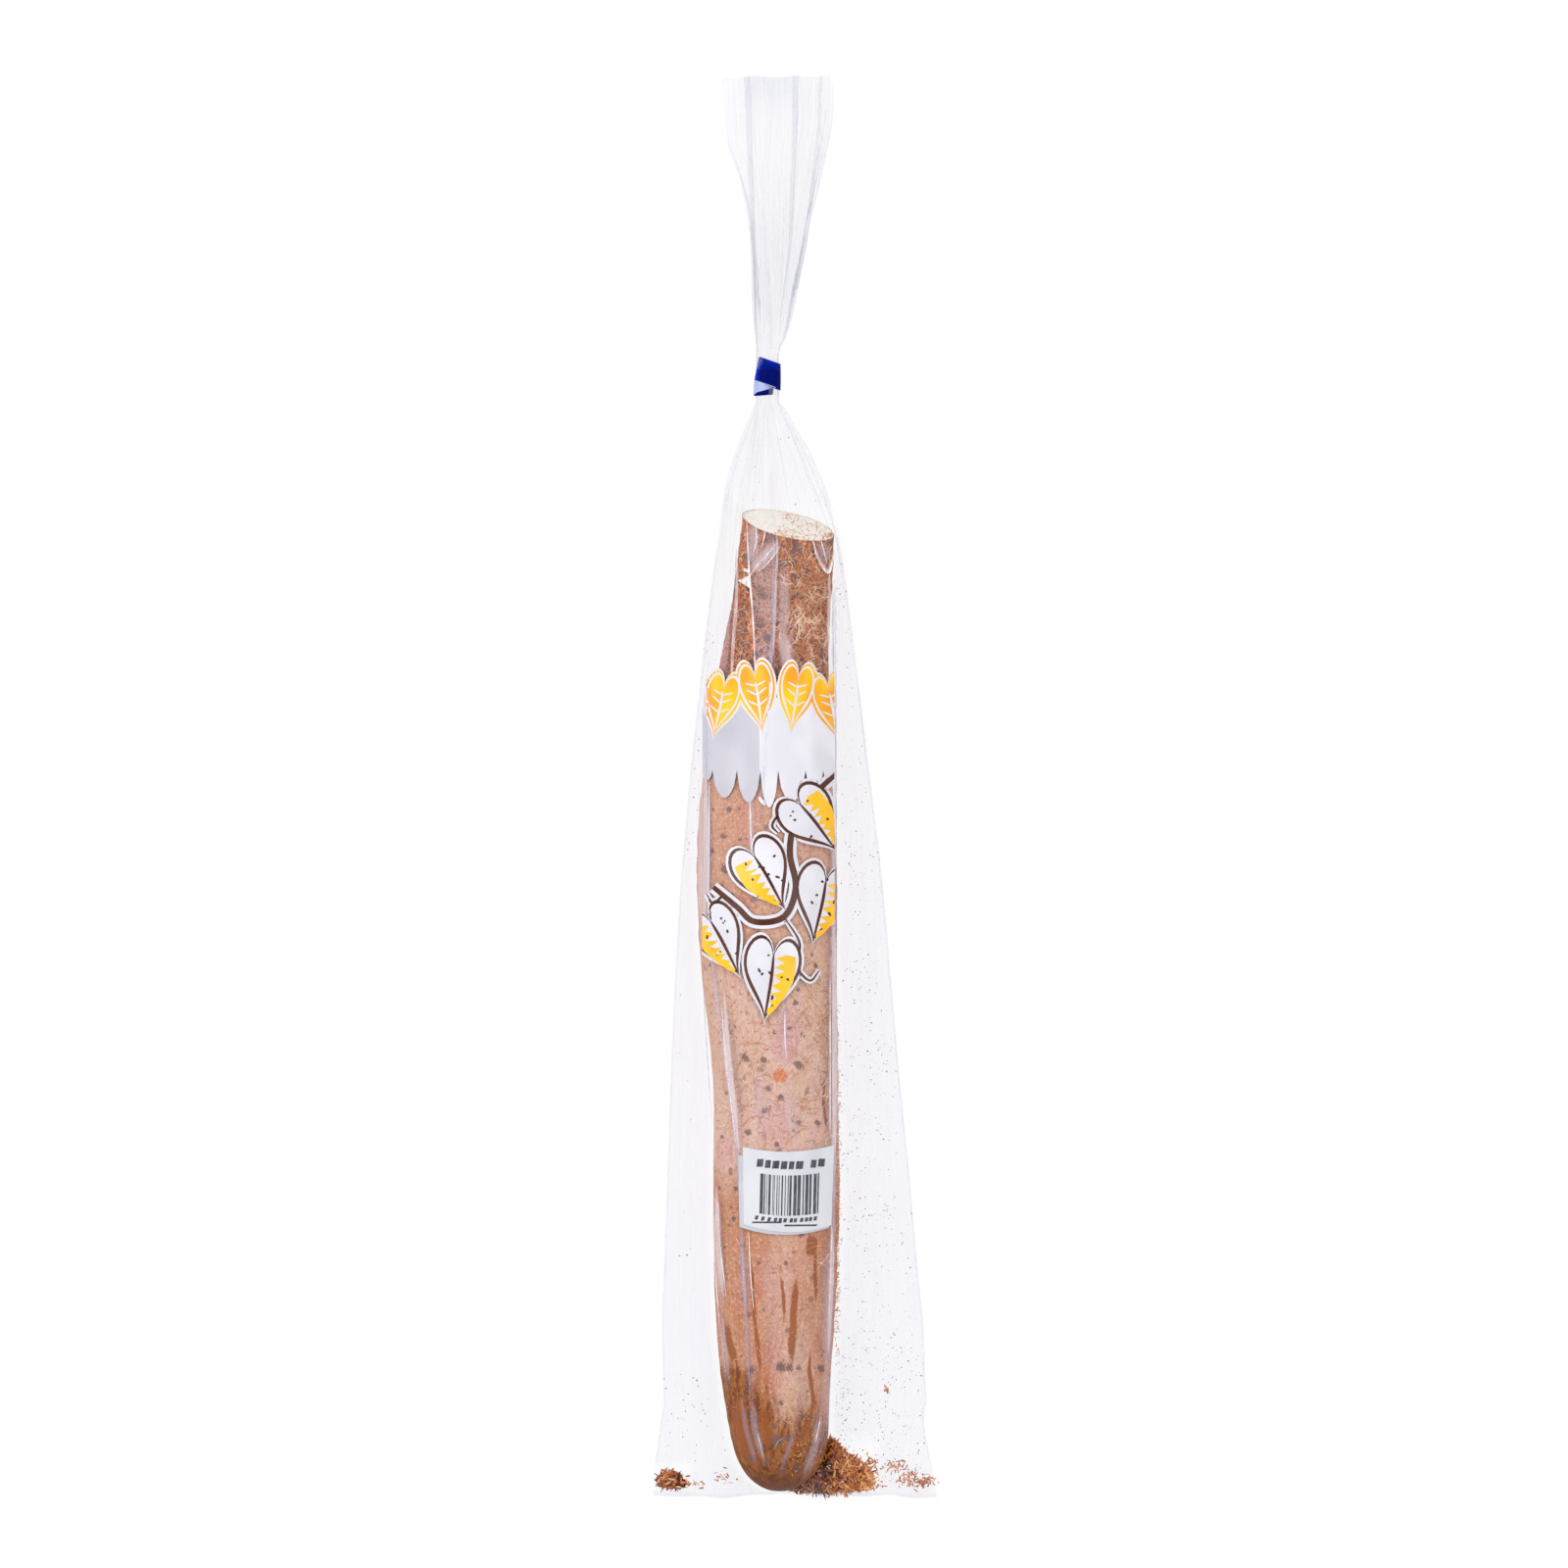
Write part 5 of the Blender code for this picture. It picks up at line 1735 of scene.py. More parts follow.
@dataclass
class Print:
    """The decoration printed on the film: a row of leaves over a scalloped white band, and a vine below."""

    left: float = -39.4 * MM
    right: float = 16.6 * MM
    base_lift: float = 0.14 * MM
    layer: float = 0.065 * MM
    grid: float = 0.9 * MM
    # Left of this the band's white is printed darker, as painted shade beside the fold
    crease: float = -15.2 * MM
    row: tuple[LeafMark, ...] = (
        LeafMark(735, 719, 32, 62, -12),
        LeafMark(773, 711, 33, 68, 8),
        LeafMark(812, 712, 32, 66, -8),
        LeafMark(849, 722, 33, 66, 10),
    )
    vine_leaves: tuple[LeafMark, ...] = (
        LeafMark(830, 838, 56, 74, 38),
        LeafMark(781, 893, 56, 76, 30),
        LeafMark(838, 921, 56, 80, -12),
        LeafMark(736, 960, 48, 78, 28),
        LeafMark(786, 998, 56, 84, -8),
    )
    vine: Path = (
        (853, 790), (836, 806), (812, 838), (806, 870), (812, 905), (800, 935), (770, 940), (752, 925),
        (728, 905),
    )
    tendrils: tuple[Path, ...] = (
        ((812, 838), (796, 832), (788, 842), (794, 850)),
        ((800, 935), (816, 962), (812, 984), (826, 1000), (836, 990)),
        ((752, 925), (738, 915), (728, 922), (721, 912)),
    )
    lobes: Rows = (
        (716, 727, 790), (727, 752, 808), (752, 776, 813), (776, 794, 818), (794, 822, 812),
        (822, 840, 800), (840, 853, 794),
    )

    def build(self, height: Height) -> list[Piece]:
        """Prints every ink, each as one thin piece on the film.

        Args:
            height: The film's height at a place.

        Returns:
            The pieces, one for each ink.
        """
        draw = random.Random(8)
        band = self.scalloped_band()
        # Painted shade: the band's part left of the crease takes the darker white
        left, right = cut_off(band, self.crease, 1), cut_off(band, self.crease, -1)
        shapes: list[tuple[Ink, float, Outline]] = [(Ink.WHITE, 0, left), (Ink.SNOW, 0, right)]
        for mark in self.row:
            shapes += [
                (Ink.SNOW, 0.5, mark.outline(2.5 * MM)),
                (Ink.AMBER, 1, mark.outline(1.55 * MM)),
                (Ink.SNOW, 2, mark.outline(0.5 * MM)),
                (Ink.AMBER, 3, mark.outline(-0.5 * MM)),
                (Ink.SNOW, 4, mark.stroke(((0, 0.22), (0.03, 0), (0, -0.42)), 1.0 * MM)),
            ]
            for side in (-1, 1):
                for start, end in ((0.16, 0.22), (0.02, 0.12), (-0.14, -0.04)):
                    vein = ((0, start), (side * 0.3, (start + end) / 2), (side * 0.62, end))
                    shapes.append((Ink.SNOW, 4, mark.stroke(vein, 0.7 * MM)))
        shapes.append((Ink.SNOW, 0, ribbon_outline(self.vine, 5.6 * MM, 0.9)))
        shapes.append((Ink.BROWN, 1, ribbon_outline(self.vine, 2.7 * MM, 0.7)))
        for path in self.tendrils:
            shapes.append((Ink.SNOW, 0, ribbon_outline(path, 3.0 * MM, 0.7)))
            shapes.append((Ink.BROWN, 1, ribbon_outline(path, 1.1 * MM)))
        for number, mark in enumerate(self.vine_leaves):
            side = 1 if number % 2 == 0 else -1
            shapes += [
                (Ink.SNOW, 0, mark.outline(1.9 * MM)),
                (Ink.BROWN, 1, mark.outline(0.75 * MM)),
                (Ink.SNOW, 2, mark.outline(-0.75 * MM)),
                (Ink.GOLD, 3, mark.shaded_half(side, draw)),
                (Ink.BROWN, 4, mark.stroke(((0, 0.30), (0.04, 0), (0, -0.46)), 1.3 * MM)),
            ]
            for _ in range(9):
                across, up = draw.uniform(-0.62, 0.62), draw.uniform(-0.28, 0.3)
                tip = (across + draw.uniform(-0.12, 0.12), up + draw.uniform(-0.05, 0.05))
                shapes.append((Ink.BROWN, 4, mark.stroke(((across, up), tip), 0.95 * MM, 0.5)))
        return [self.press(ink, shapes, height) for ink in Ink]

    def press(self, ink: Ink, shapes: list[tuple[Ink, float, Outline]], height: Height) -> Piece:
        """Makes the piece that holds all of one ink.

        Args:
            ink: The ink.
            shapes: Every shape with its ink and its layer.
            height: The film's height at a place.

        Returns:
            The new object.
        """
        inked = []
        for owner, level, outline in shapes:
            outline = cut_off(cut_off(outline, self.right, 1), self.left, -1)
            if owner is ink and len(outline) >= 3:
                inked.append((outline, self.base_lift + level * self.layer))
        piece = press(f"print_{ink.name.lower()}", inked, height, self.grid, ink.material())
        return piece

    def scalloped_band(self) -> Outline:
        """The white band under the row of leaves, with hanging lobes."""
        corners = [seen(716, 722), seen(752, 714), seen(792, 712), seen(830, 713), seen(853, 720)]
        for start, end, low in self.lobes[::-1]:
            for k in range(9):
                t = k / 9
                drop = math.sin(math.pi * t) ** 0.55 * (low - 794 + 14)
                corners.append(seen(end + (start - end) * t, 786 + drop))
        corners.append(seen(716, 786))
        return corners


@dataclass(frozen=True)
class PaperFinish:
    """Coated white label paper with a slight blue cast."""

    colour: Colour = (0.61, 0.61, 0.65)
    shade: Colour = (0.56, 0.56, 0.61)

    def material(self, name: str) -> Material:
        """Builds the paper.

        Args:
            name: The material's name.

        Returns:
            The material.
        """
        bench = Bench(name)
        pulp = bench.grain(bench.stretched(0.4, 0.4, 0.4), 3)
        bend = bench.grain(bench.stretched(15, 22, 15), 2)
        bench.relief(pulp, 0.03)
        return bench.dress(
            Base_Color=bench.stain(self.colour, self.shade, bend, 0.35, 0.65),
            Roughness=bench.between(0.3, 0.7, pulp, 0.42, 0.55),
            Specular_IOR_Level=0.4,
        )


@dataclass(frozen=True)
class BlackFinish:
    """The label's grey-black thermal marks."""

    dark: Colour = (0.018, 0.02, 0.028)
    worn: Colour = (0.10, 0.11, 0.13)

    def material(self) -> Material:
        """Builds the marks' finish."""
        bench = Bench("label_marks")
        fleck = bench.grain(bench.stretched(0.7, 5, 0.7), 3)
        colour = bench.stain(self.dark, self.worn, fleck, 0.4, 0.75)
        return bench.dress(Base_Color=colour, Roughness=0.5)


@dataclass
class Stickers:
    """Two stickers, one on the other, with plain bars and rows of blocks on the upper one."""

    paper: float = 0.12 * MM
    upper_lift: float = 0.55 * MM
    lower_lift: float = 0.25 * MM
    mark_lift: float = 0.61 * MM
    grid: float = 1.6 * MM
    mark_grid: float = 1.5 * MM
    # Photo pixels: corners from the upper left, clockwise, then how far the top and bottom edges bow down
    upper: Path = ((758, 1169.5), (851, 1168), (848.4, 1249.5), (758.7, 1248))
    lower: Path = ((753.3, 1178), (850, 1176), (846, 1252), (754.6, 1251))
    bow: tuple[float, float] = (5.5, 7.5)
    bars: tuple[float, float, float, float] = (776, 836, 1193, 1234)

    def build(self, height: Height) -> list[Piece]:
        """Makes both stickers and the marks.

        Args:
            height: The film's height at a place.

        Returns:
            The pieces.
        """
        paper, under = PaperFinish(), PaperFinish((0.50, 0.50, 0.56), (0.45, 0.45, 0.51))
        upper = self.sticker("sticker_top", "sticker_upper", self.upper, self.upper_lift, height, paper)
        lower = self.sticker("sticker_below", "sticker_lower", self.lower, self.lower_lift, height, under)
        return [upper, lower, self.marks(height)]

    def edge(self, corners: Path) -> Outline:
        """A sticker's outline with its bowed top and bottom edges.

        Args:
            corners: Its corners, as photo pixels.

        Returns:
            The outline's corners.
        """
        (ax, ay), (bx, by), (cx, cy), (dx, dy) = corners
        outline = []
        for x0, y0, x1, y1, bow in ((ax, ay, bx, by, self.bow[0]), (cx, cy, dx, dy, self.bow[1])):
            for k in range(13):
                t = k / 12
                outline.append(seen(x0 + (x1 - x0) * t, y0 + (y1 - y0) * t + bow * 4 * t * (1 - t)))
        return outline

    def sticker(
        self, name: str, node: str, corners: Path, lift: float, height: Height, paper: PaperFinish
    ) -> Piece:
        """Makes one sticker that follows the film.

        Args:
            name: The piece's name.
            node: The node it stands for.
            corners: As for edge.
            lift: How far above the film it lies.
            height: The film's height at a place.
            paper: Its finish.

        Returns:
            The new object.
        """
        points, faces = slab(*flat_patch(self.edge(corners), height, lift, self.grid), self.paper)
        piece = make_piece(name, points, faces, paper.material(name), 40)
        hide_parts(node)
        return piece

    def marks(self, height: Height) -> Piece:
        """Makes the bars and the rows of blocks.

        Args:
            height: The film's height at a place.

        Returns:
            The new object.
        """
        draw = random.Random(29)
        boxes: list[tuple[float, float, float, float]] = []
        left, right, top, bottom = self.bars
        x = left
        while x < right:
            width = draw.choice((0.7, 0.9, 1.4, 2.2, 3.2))
            boxes.append((x, min(x + width, right), top, bottom))
            x += width + draw.choice((0.7, 0.9, 1.3, 2.0))
        x = 773.0
        for width in (6.4, 5.6, 6.8, 6.2, 5.2, 7.4, 0, 5.6, 6.6):
            if width:
                boxes.append((x, x + width, 1178.6, 1186.6))
            x += (width or 4.0) + 1.9
        x = 771.0
        while x < 834:
            boxes.append((x, x + 3.2, 1236.6, 1240.8))
            x += draw.choice((4.1, 4.9, 6.4))
        boxes += [(768, 798, 1243.2, 1245.0), (801, 834, 1243.0, 1244.8)]
        shapes = []
        for x0, x1, y0, y1 in boxes:
            share = (x0 - self.upper[0][0]) / 93
            bow = self.bow[0] * 4 * share * (1 - share)
            corners = ((x0, y0), (x1, y0), (x1 - 1.0, y1), (x0 - 1.0, y1))
            shapes.append(([seen(x, y + bow) for x, y in corners], self.mark_lift))
        piece = press("sticker_marks", shapes, height, self.mark_grid, BlackFinish().material())
        return piece


@dataclass(frozen=True)
class TapeFinish:
    """Deep blue vinyl tape and its pale gummed side."""

    blue: Colour = (0.0005, 0.0030, 0.105)
    lit_blue: Colour = (0.001, 0.020, 0.42)
    gum: Colour = (0.31, 0.37, 0.62)

    def vinyl(self) -> Material:
        """Builds the coloured side."""
        bench = Bench("blue_tape")
        stretch = bench.grain(bench.stretched(4, 2.2, 6), 3)
        bench.relief(bench.grain(bench.stretched(6, 1.2, 6), 3), 0.2)
        # Painted light: the tape is painted a brighter blue towards its upper left, where `lit` is high
        lit = bench.lever(bench.centred(stretch), 1.2, bench.painted("lit"))
        colour = bench.stain(self.blue, self.lit_blue, lit, 0.1, 0.9)
        return bench.dress(Base_Color=colour, Roughness=0.5, Specular_IOR_Level=0.02)

    def gummed(self) -> Material:
        """Builds the gummed side."""
        bench = Bench("tape_gum")
        blotch = bench.grain(bench.stretched(1.2, 1.2, 1.2), 3)
        colour = bench.stain(self.gum, (0.43, 0.48, 0.68), blotch, 0.5, 0.75)
        return bench.dress(Base_Color=colour, Roughness=0.55)


@dataclass
class NeckTape:
    """The tape wound round the gathered neck: one slanting turn, its turned-over end and a second turn."""

    middle_z: float = 10 * MM
    around: int = 72
    thickness: float = 0.35 * MM
    # Photo pixels: left and right edge of the turn at its top and bottom
    top: Path = ((774.5, 363), (796.5, 370.5))
    bottom: Path = ((769.6, 387.6), (796.5, 397.5))
    low_top: Path = ((769.6, 384), (790, 391.5))
    low_bottom: Path = ((768.7, 403.2), (789, 401.8))
    turned_over: Path = ((769.6, 386.8), (792.0, 394.6), (768.8, 401.4))
    tucked_end: Path = ((768.7, 403), (772.5, 399.6), (788, 395.4), (787.6, 402.2))

    def build(self) -> list[Piece]:
        """Makes the turns, the turned-over end and the tucked end."""
        finish = TapeFinish()
        mesh = Growing()
        mesh.add(*self.turn(self.top, self.bottom, 0.0))
        mesh.add(*self.turn(self.low_top, self.low_bottom, 0.25 * MM))
        vinyl = finish.vinyl()
        x, y, _ = np.array(mesh.points).T
        # Painted light: brighter towards the wrap's upper left
        lit = ramp(-14, -17.4, x) * 0.8 + ramp(173, 181, y) * 0.5
        wrap = make_piece("tape_turns", mesh.points, mesh.faces, vinyl, 50, {"lit": lit})
        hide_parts("neck_tape")
        wrapped = Ground(wrap)
        pieces = [wrap]
        for name, corners, material, lift in (
            ("tape_turned_over", self.turned_over, finish.gummed(), 0.40 * MM),
            ("tape_tucked_end", self.tucked_end, vinyl, 0.55 * MM),
        ):
            patch = flat_patch([seen(*c) for c in corners], self.beside(wrapped), lift, 0.35 * MM)
            pieces.append(make_piece(name, *slab(*patch, 0.1 * MM), material, 40))
        return pieces

    @staticmethod
    def beside(wrapped: Ground) -> Height:
        """The wrap's height, held up where the end reaches past its side."""
        return lambda x, y: max(wrapped.height(x, y), 11.5 * MM)

    def turn(
        self, top: Path, bottom: Path, shrink: float
    ) -> tuple[list, list]:
        """One turn of tape as a closed ring with an inner and an outer wall.

        Args:
            top: Its left and right at its upper edge, as photo pixels.
            bottom: At its lower edge.
            shrink: How far it is drawn in.

        Returns:
            Its points and faces.
        """
        rows = []
        for wall in (0.0, self.thickness):
            ring_rows = []
            for k in range(7):
                share = k / 6
                (lx, ly), (rx, ry) = (
                    tuple(t + (b - t) * share for t, b in zip(top[side], bottom[side])) for side in (0, 1)
                )
                (x0, y0), (x1, y1) = seen(lx, ly), seen(rx, ry)
                radius = (x1 - x0) / 2 - wall - shrink
                bulge = 0.12 * MM * math.sin(math.pi * share)
                ring = []
                for i in range(self.around):
                    turn = math.tau * i / self.around
                    across = math.cos(turn)
                    x = (x0 + x1) / 2 + (radius + bulge) * across
                    z = self.middle_z + (radius * 0.35 + 3.6 * MM + bulge) * math.sin(turn)
                    y = (y0 + y1) / 2 + (y1 - y0) / 2 * across
                    ring.append((x, y, z))
                ring_rows.append(ring)
            rows.append(ring_rows)
        outer, inner = rows
        chain = outer + inner[::-1] + [outer[0]]
        flat = [p for ring in chain[:-1] for p in ring]
        faces = tube_faces(len(chain) - 1, self.around)
        last = (len(chain) - 2) * self.around
        after = [(k + 1) % self.around for k in range(self.around)]
        faces += [(last + k, last + after[k], after[k], k) for k in range(self.around)]
        return flat, faces


@dataclass(frozen=True)
class WoodFinish:
    """Red-brown sawdust, each shaving a little different."""

    deep: Colour = (0.045, 0.012, 0.006)
    middle: Colour = (0.50, 0.145, 0.030)
    pale: Colour = (0.95, 0.48, 0.20)

    def material(self, name: str = "sawdust") -> Material:
        """Builds the sawdust's finish.

        Args:
            name: The material's name.

        Returns:
            The material.
        """
        bench = Bench(name)
        tint = bench.painted("tint")
        fibre = bench.grain(bench.stretched(0.35, 1.4, 0.35), 3)
        colour = bench.stain(self.deep, self.middle, tint, 0.0, 0.45)
        colour = bench.stain(colour, self.pale, tint, 0.55, 1.0)
        colour = bench.stain(colour, self.deep, fibre, 0.5, 0.7, 0.35)
        bench.relief(fibre, 0.2)
        return bench.dress(Base_Color=colour, Roughness=0.85, Specular_IOR_Level=0.1)


@dataclass
class Sawdust:
    """The sawdust in the bag's sealed end: heaps of curled shavings, loose clusters and specks."""

    floor: float = 0.8 * MM
    seed: int = 3
    shaving_points: int = 20
    # The size of a loose cluster, over the usual stray of its shavings
    cluster_spread: float = 3.6
    # Photo pixels
    heap: Path = (
        (804, 1524), (818, 1508), (830, 1494), (838, 1480), (846, 1468), (852, 1472), (860, 1479),
        (871, 1488), (883, 1495), (890, 1504), (892, 1512), (889, 1521), (866, 1525), (840, 1526),
    )
    left_heap: Path = (
        (669, 1512), (675, 1505), (685, 1503), (694, 1508), (700, 1515), (698, 1520), (684, 1521),
        (672, 1519),
    )
    # Photo pixels and count: left, right, top, bottom of loose clusters
    clusters: Rows = (
        (884, 896, 1489, 1499, 16), (900, 926, 1490, 1504, 46), (926, 936, 1502, 1509, 12),
        (914, 932, 1507, 1519, 34), (932, 953, 1508, 1521, 62), (700, 722, 1512, 1521, 12),
        (726, 746, 1505, 1516, 18), (888, 902, 1510, 1522, 16), (902, 909, 1414, 1423, 16),
        (880, 898, 1492, 1520, 40), (672, 680, 1507, 1518, 14), (694, 704, 1510, 1519, 16),
    )

    def build(self, tuber: Ground, film: Ground) -> list[Piece]:
        """Makes the three pieces that stand for the heap nodes.

        Args:
            tuber: The tuber's heights.
            film: The film's heights.

        Returns:
            The pieces.
        """
        draw = random.Random(self.seed)
        finish = WoodFinish().material()
        groups: dict[str, list] = {"sawdust_by_tip": [], "sawdust_left": [], "sawdust_corner": []}
        for outline, count, node, tall, coarse in (
            (self.heap, 1500, "sawdust_by_tip", 8.0 * MM, 0.0),
            (self.heap, 520, "sawdust_by_tip", 9.4 * MM, 1.0),
            (self.left_heap, 360, "sawdust_left", 4.0 * MM, 0.0),
            (self.left_heap, 90, "sawdust_left", 4.8 * MM, 0.8),
        ):
            corners = [seen(*c) for c in outline]
            (left, low), (right, high) = np.min(corners, 0).tolist(), np.max(corners, 0).tolist()
            middle = np.mean(corners, 0)
            reach = 14 * MM if tall > 5 * MM else 7 * MM
            while count:
                x, y = draw.uniform(left, right), draw.uniform(low, high)
                if not inside(x, y, corners):
                    continue
                count -= 1
                near = 1 - min(1, math.hypot(x - middle[0], y - middle[1]) / reach)
                top = min(self.floor + tall * (0.35 + 0.65 * near), film.height(x, y) - 0.9 * MM)
                if tuber.height(x, y) > 0:
                    top = min(top, tuber.underside(x, y) - 0.4 * MM)
                if top < self.floor:
                    continue
                z = max(self.floor, top * draw.uniform(0.1 + 0.8 * coarse, 1) ** 0.4)
                # Painted light and shade: shavings high in the heap are painted paler, those low in it and
                # close to the tuber darker; the left heap is darker as a whole
                tone = 0.12 + 0.45 * (z / top) ** 2 + 0.16 * coarse
                tone -= 0.30 if x < 0 else 0.38 * ramp(22, 12, x)
                tint = min(1, max(0, draw.gauss(tone, 0.26)))
                length = draw.uniform(1.0, 3.6) * (1 + coarse) * MM
                width = draw.uniform(0.22, 0.6) * (1 + 0.9 * coarse) * MM
                groups[node].append((x, y, z, length, width, tint))
        for left, right, top, bottom, count in self.clusters:
            for _ in range(count):
                across = draw.gauss((left + right) / 2, (right - left) / self.cluster_spread)
                down = draw.gauss((top + bottom) / 2, (bottom - top) / self.cluster_spread)
                x, y = seen(across, down)
                z = draw.uniform(self.floor, max(self.floor, film.height(x, y) - 1.1 * MM))
                node = "sawdust_corner" if x > 0 else "sawdust_left"
                tint = draw.uniform(0.25, 1)
                length = draw.uniform(0.7, 2.6) * MM
                groups[node].append((x, y, z, length, draw.uniform(0.3, 0.8) * MM, tint))
        pieces = []
        for node, bits in groups.items():
            mesh = Growing()
            for *place, length, width, _ in bits:
                self.shaving(mesh, place, length, width, draw)
            tints = np.repeat([bit[-1] for bit in bits], self.shaving_points)
            piece = make_piece(f"{node}_shavings", mesh.points, mesh.faces, finish, 80, {"tint": tints})
            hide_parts(node)
            pieces.append(piece)
        return pieces

    def shaving(
        self, mesh: Growing, place: Sequence[float], length: float, width: float, draw: Draw
    ) -> None:
        """Adds one curled shaving to a mesh.

        Args:
            mesh: The mesh, added to.
            place: The shaving's middle.
            length: Its length, in metres.
            width: Its width.
            draw: The source of chance.
        """
        heading, tilt = draw.uniform(0, math.tau), draw.uniform(-0.5, 0.5)
        curl = draw.uniform(-2.2, 2.2) / length
        thick = width * 0.28
        side = Vector((-math.sin(heading), math.cos(heading), draw.uniform(-0.4, 0.4))).normalized()
        at = Vector(place)
        rise = tilt - curl * length / 2
        steps = self.shaving_points // 4 - 1
        line = []
        for _ in range(steps + 1):
            line.append(at.copy())
            flat = math.cos(rise)
            ahead = Vector((math.cos(heading) * flat, math.sin(heading) * flat, math.sin(rise)))
            at += ahead * (length / steps)
            rise += curl * length / steps
        shift = Vector(place) - (line[0] + line[-1]) / 2
        points = []
        for number, point in enumerate(line):
            half = width / 2 * (0.35 + 0.65 * math.sin(math.pi * (number + 0.4) / (steps + 0.8)))
            for corner in (side * half, Vector((0, 0, thick)), side * -half, Vector((0, 0, -thick))):
                spot = point + shift + corner
                points.append((spot.x, spot.y, max(spot.z, self.floor * 0.6)))
        last = steps * 4
        ends = [(3, 2, 1, 0), (last, last + 1, last + 2, last + 3)]
        mesh.add(points, tube_faces(steps + 1, 4) + ends)


def inside(x: float, y: float, corners: Sequence[Sequence[float]]) -> bool:
    """Whether a place is inside an outline.

    Args:
        x: The place's x.
        y: Its y.
        corners: The outline's corners.

    Returns:
        True when it is inside.
    """
    within = False
    for (ax, ay), (bx, by) in zip(corners, [*corners[1:], corners[0]]):
        if (ay > y) != (by > y) and x < ax + (y - ay) / (by - ay) * (bx - ax):
            within = not within
    return within


@dataclass
class Specks:
    """Fine dust that clings to the inside of the film, and chips on the tuber's flanks."""

    smallest: float = 0.13 * MM
    largest: float = 0.44 * MM
    # Photo pixels and count: left, right, top, bottom, how many
    fields: Rows = (
        (858, 885, 760, 900, 70), (858, 900, 860, 1080, 150), (858, 915, 1060, 1250, 230),
        (860, 935, 1230, 1400, 220), (852, 868, 1380, 1480, 120), (858, 944, 1380, 1510, 230),
        (890, 944, 1440, 1515, 130), (676, 716, 800, 1500, 60), (672, 740, 1400, 1515, 60),
        (705, 722, 600, 900, 40), (860, 872, 600, 760, 26), (745, 850, 420, 530, 26),
        (700, 706, 850, 870, 10), (715, 730, 640, 700, 16), (850, 862, 570, 630, 22),
    )
    flank: tuple[float, float, float, float, int] = (850.5, 857.5, 1000, 1400, 1000)

    def build(self, film: Ground, tuber: Ground) -> list[Piece]:
        """Makes the dust and the chips.

        Args:
            film: The film's heights.
            tuber: The tuber's heights.

        Returns:
            The pieces.
        """
        draw = random.Random(17)
        dust_mesh, chips_mesh = Growing(), Growing()
        for left, right, top, bottom, count in self.fields:
            for _ in range(count):
                x, y = seen(draw.uniform(left, right), draw.uniform(top, bottom))
                up = film.height(x, y)
                if up <= 0 or tuber.height(x, y) > 0.5 * up:
                    continue
                size = self.smallest + (self.largest - self.smallest) * draw.random() ** 2.4
                place = (x, y, max(up - size - 0.12 * MM, 0.6 * MM))
                self.grain_of_dust(dust_mesh, place, size, draw)
        left, right, top, bottom, count = self.flank
        saw = Sawdust()
        for _ in range(count):
            x, y = seen(draw.gauss((left + right) / 2, 1.7), draw.triangular(top, bottom, 1225))
            up = tuber.height(x, y)
            z = up + 0.3 * MM if up else draw.uniform(6, 24) * MM
            place = (x, y, min(z, film.height(x, y) - 1.2 * MM))
            size = (draw.uniform(0.4, 1.6) * MM, draw.uniform(0.14, 0.36) * MM)
            saw.shaving(chips_mesh, place, *size, draw)
        dust_finish = WoodFinish((0.03, 0.02, 0.02), (0.10, 0.06, 0.05), (0.35, 0.18, 0.11)).material("dust")
        dust = make_piece(
            "dust_in_bag", dust_mesh.points, dust_mesh.faces, dust_finish, 60, self.tints(dust_mesh, 6, draw)
        )
        chip_tints = self.tints(chips_mesh, saw.shaving_points, draw)
        wood = WoodFinish((0.30, 0.10, 0.035), (0.62, 0.27, 0.11), (0.86, 0.52, 0.30))
        chips_finish = wood.material("flank_chips")
        chips = make_piece(
            "chips_on_flank", chips_mesh.points, chips_mesh.faces, chips_finish, 60, chip_tints
        )
        return [dust, chips]

    @staticmethod
    def tints(mesh: Growing, each: int, draw: Draw) -> dict[str, Array]:
        """A random tint for each bit of a mesh, of so many points each."""
        return {"tint": np.repeat([draw.random() for _ in range(len(mesh.points) // each)], each)}

    @staticmethod
    def grain_of_dust(mesh: Growing, place: Sequence[float], size: float, draw: Draw) -> None:
        """Adds one irregular grain with six corners.

        Args:
            mesh: The mesh, added to.
            place: The grain's middle.
            size: Its half size.
            draw: The source of chance.
        """
        points, faces = [], []
        for axis in range(3):
            for sign in (-1, 1):
                spot = list(place)
                for k in range(3):
                    push = sign * draw.uniform(0.5, 1.1) if k == axis else draw.uniform(-0.25, 0.25)
                    spot[k] += size * push
                points.append(tuple(spot))
        for a in (0, 1):
            for b in (2, 3):
                for c in (4, 5):
                    faces.append((a, b, c) if (a + b + c) % 2 else (c, b, a))
        mesh.add(points, faces)


@dataclass(frozen=True)
class RootletFinish:
    """Pale dry rootlets."""

    pale: Colour = (0.98, 0.78, 0.60)
    tan: Colour = (0.70, 0.34, 0.16)

    def material(self, name: str) -> Material:
        """Builds the rootlets' finish.

        Args:
            name: The material's name.

        Returns:
            The material.
        """
        bench = Bench(name)
        tone = bench.grain(bench.stretched(6, 6, 6), 3)
        colour = bench.stain(self.tan, self.pale, tone, 0.4, 0.62)
        bench.relief(bench.grain(bench.stretched(0.3, 0.3, 0.3), 2), 0.05)
        return bench.dress(Base_Color=colour, Roughness=0.7, Specular_IOR_Level=0.2)


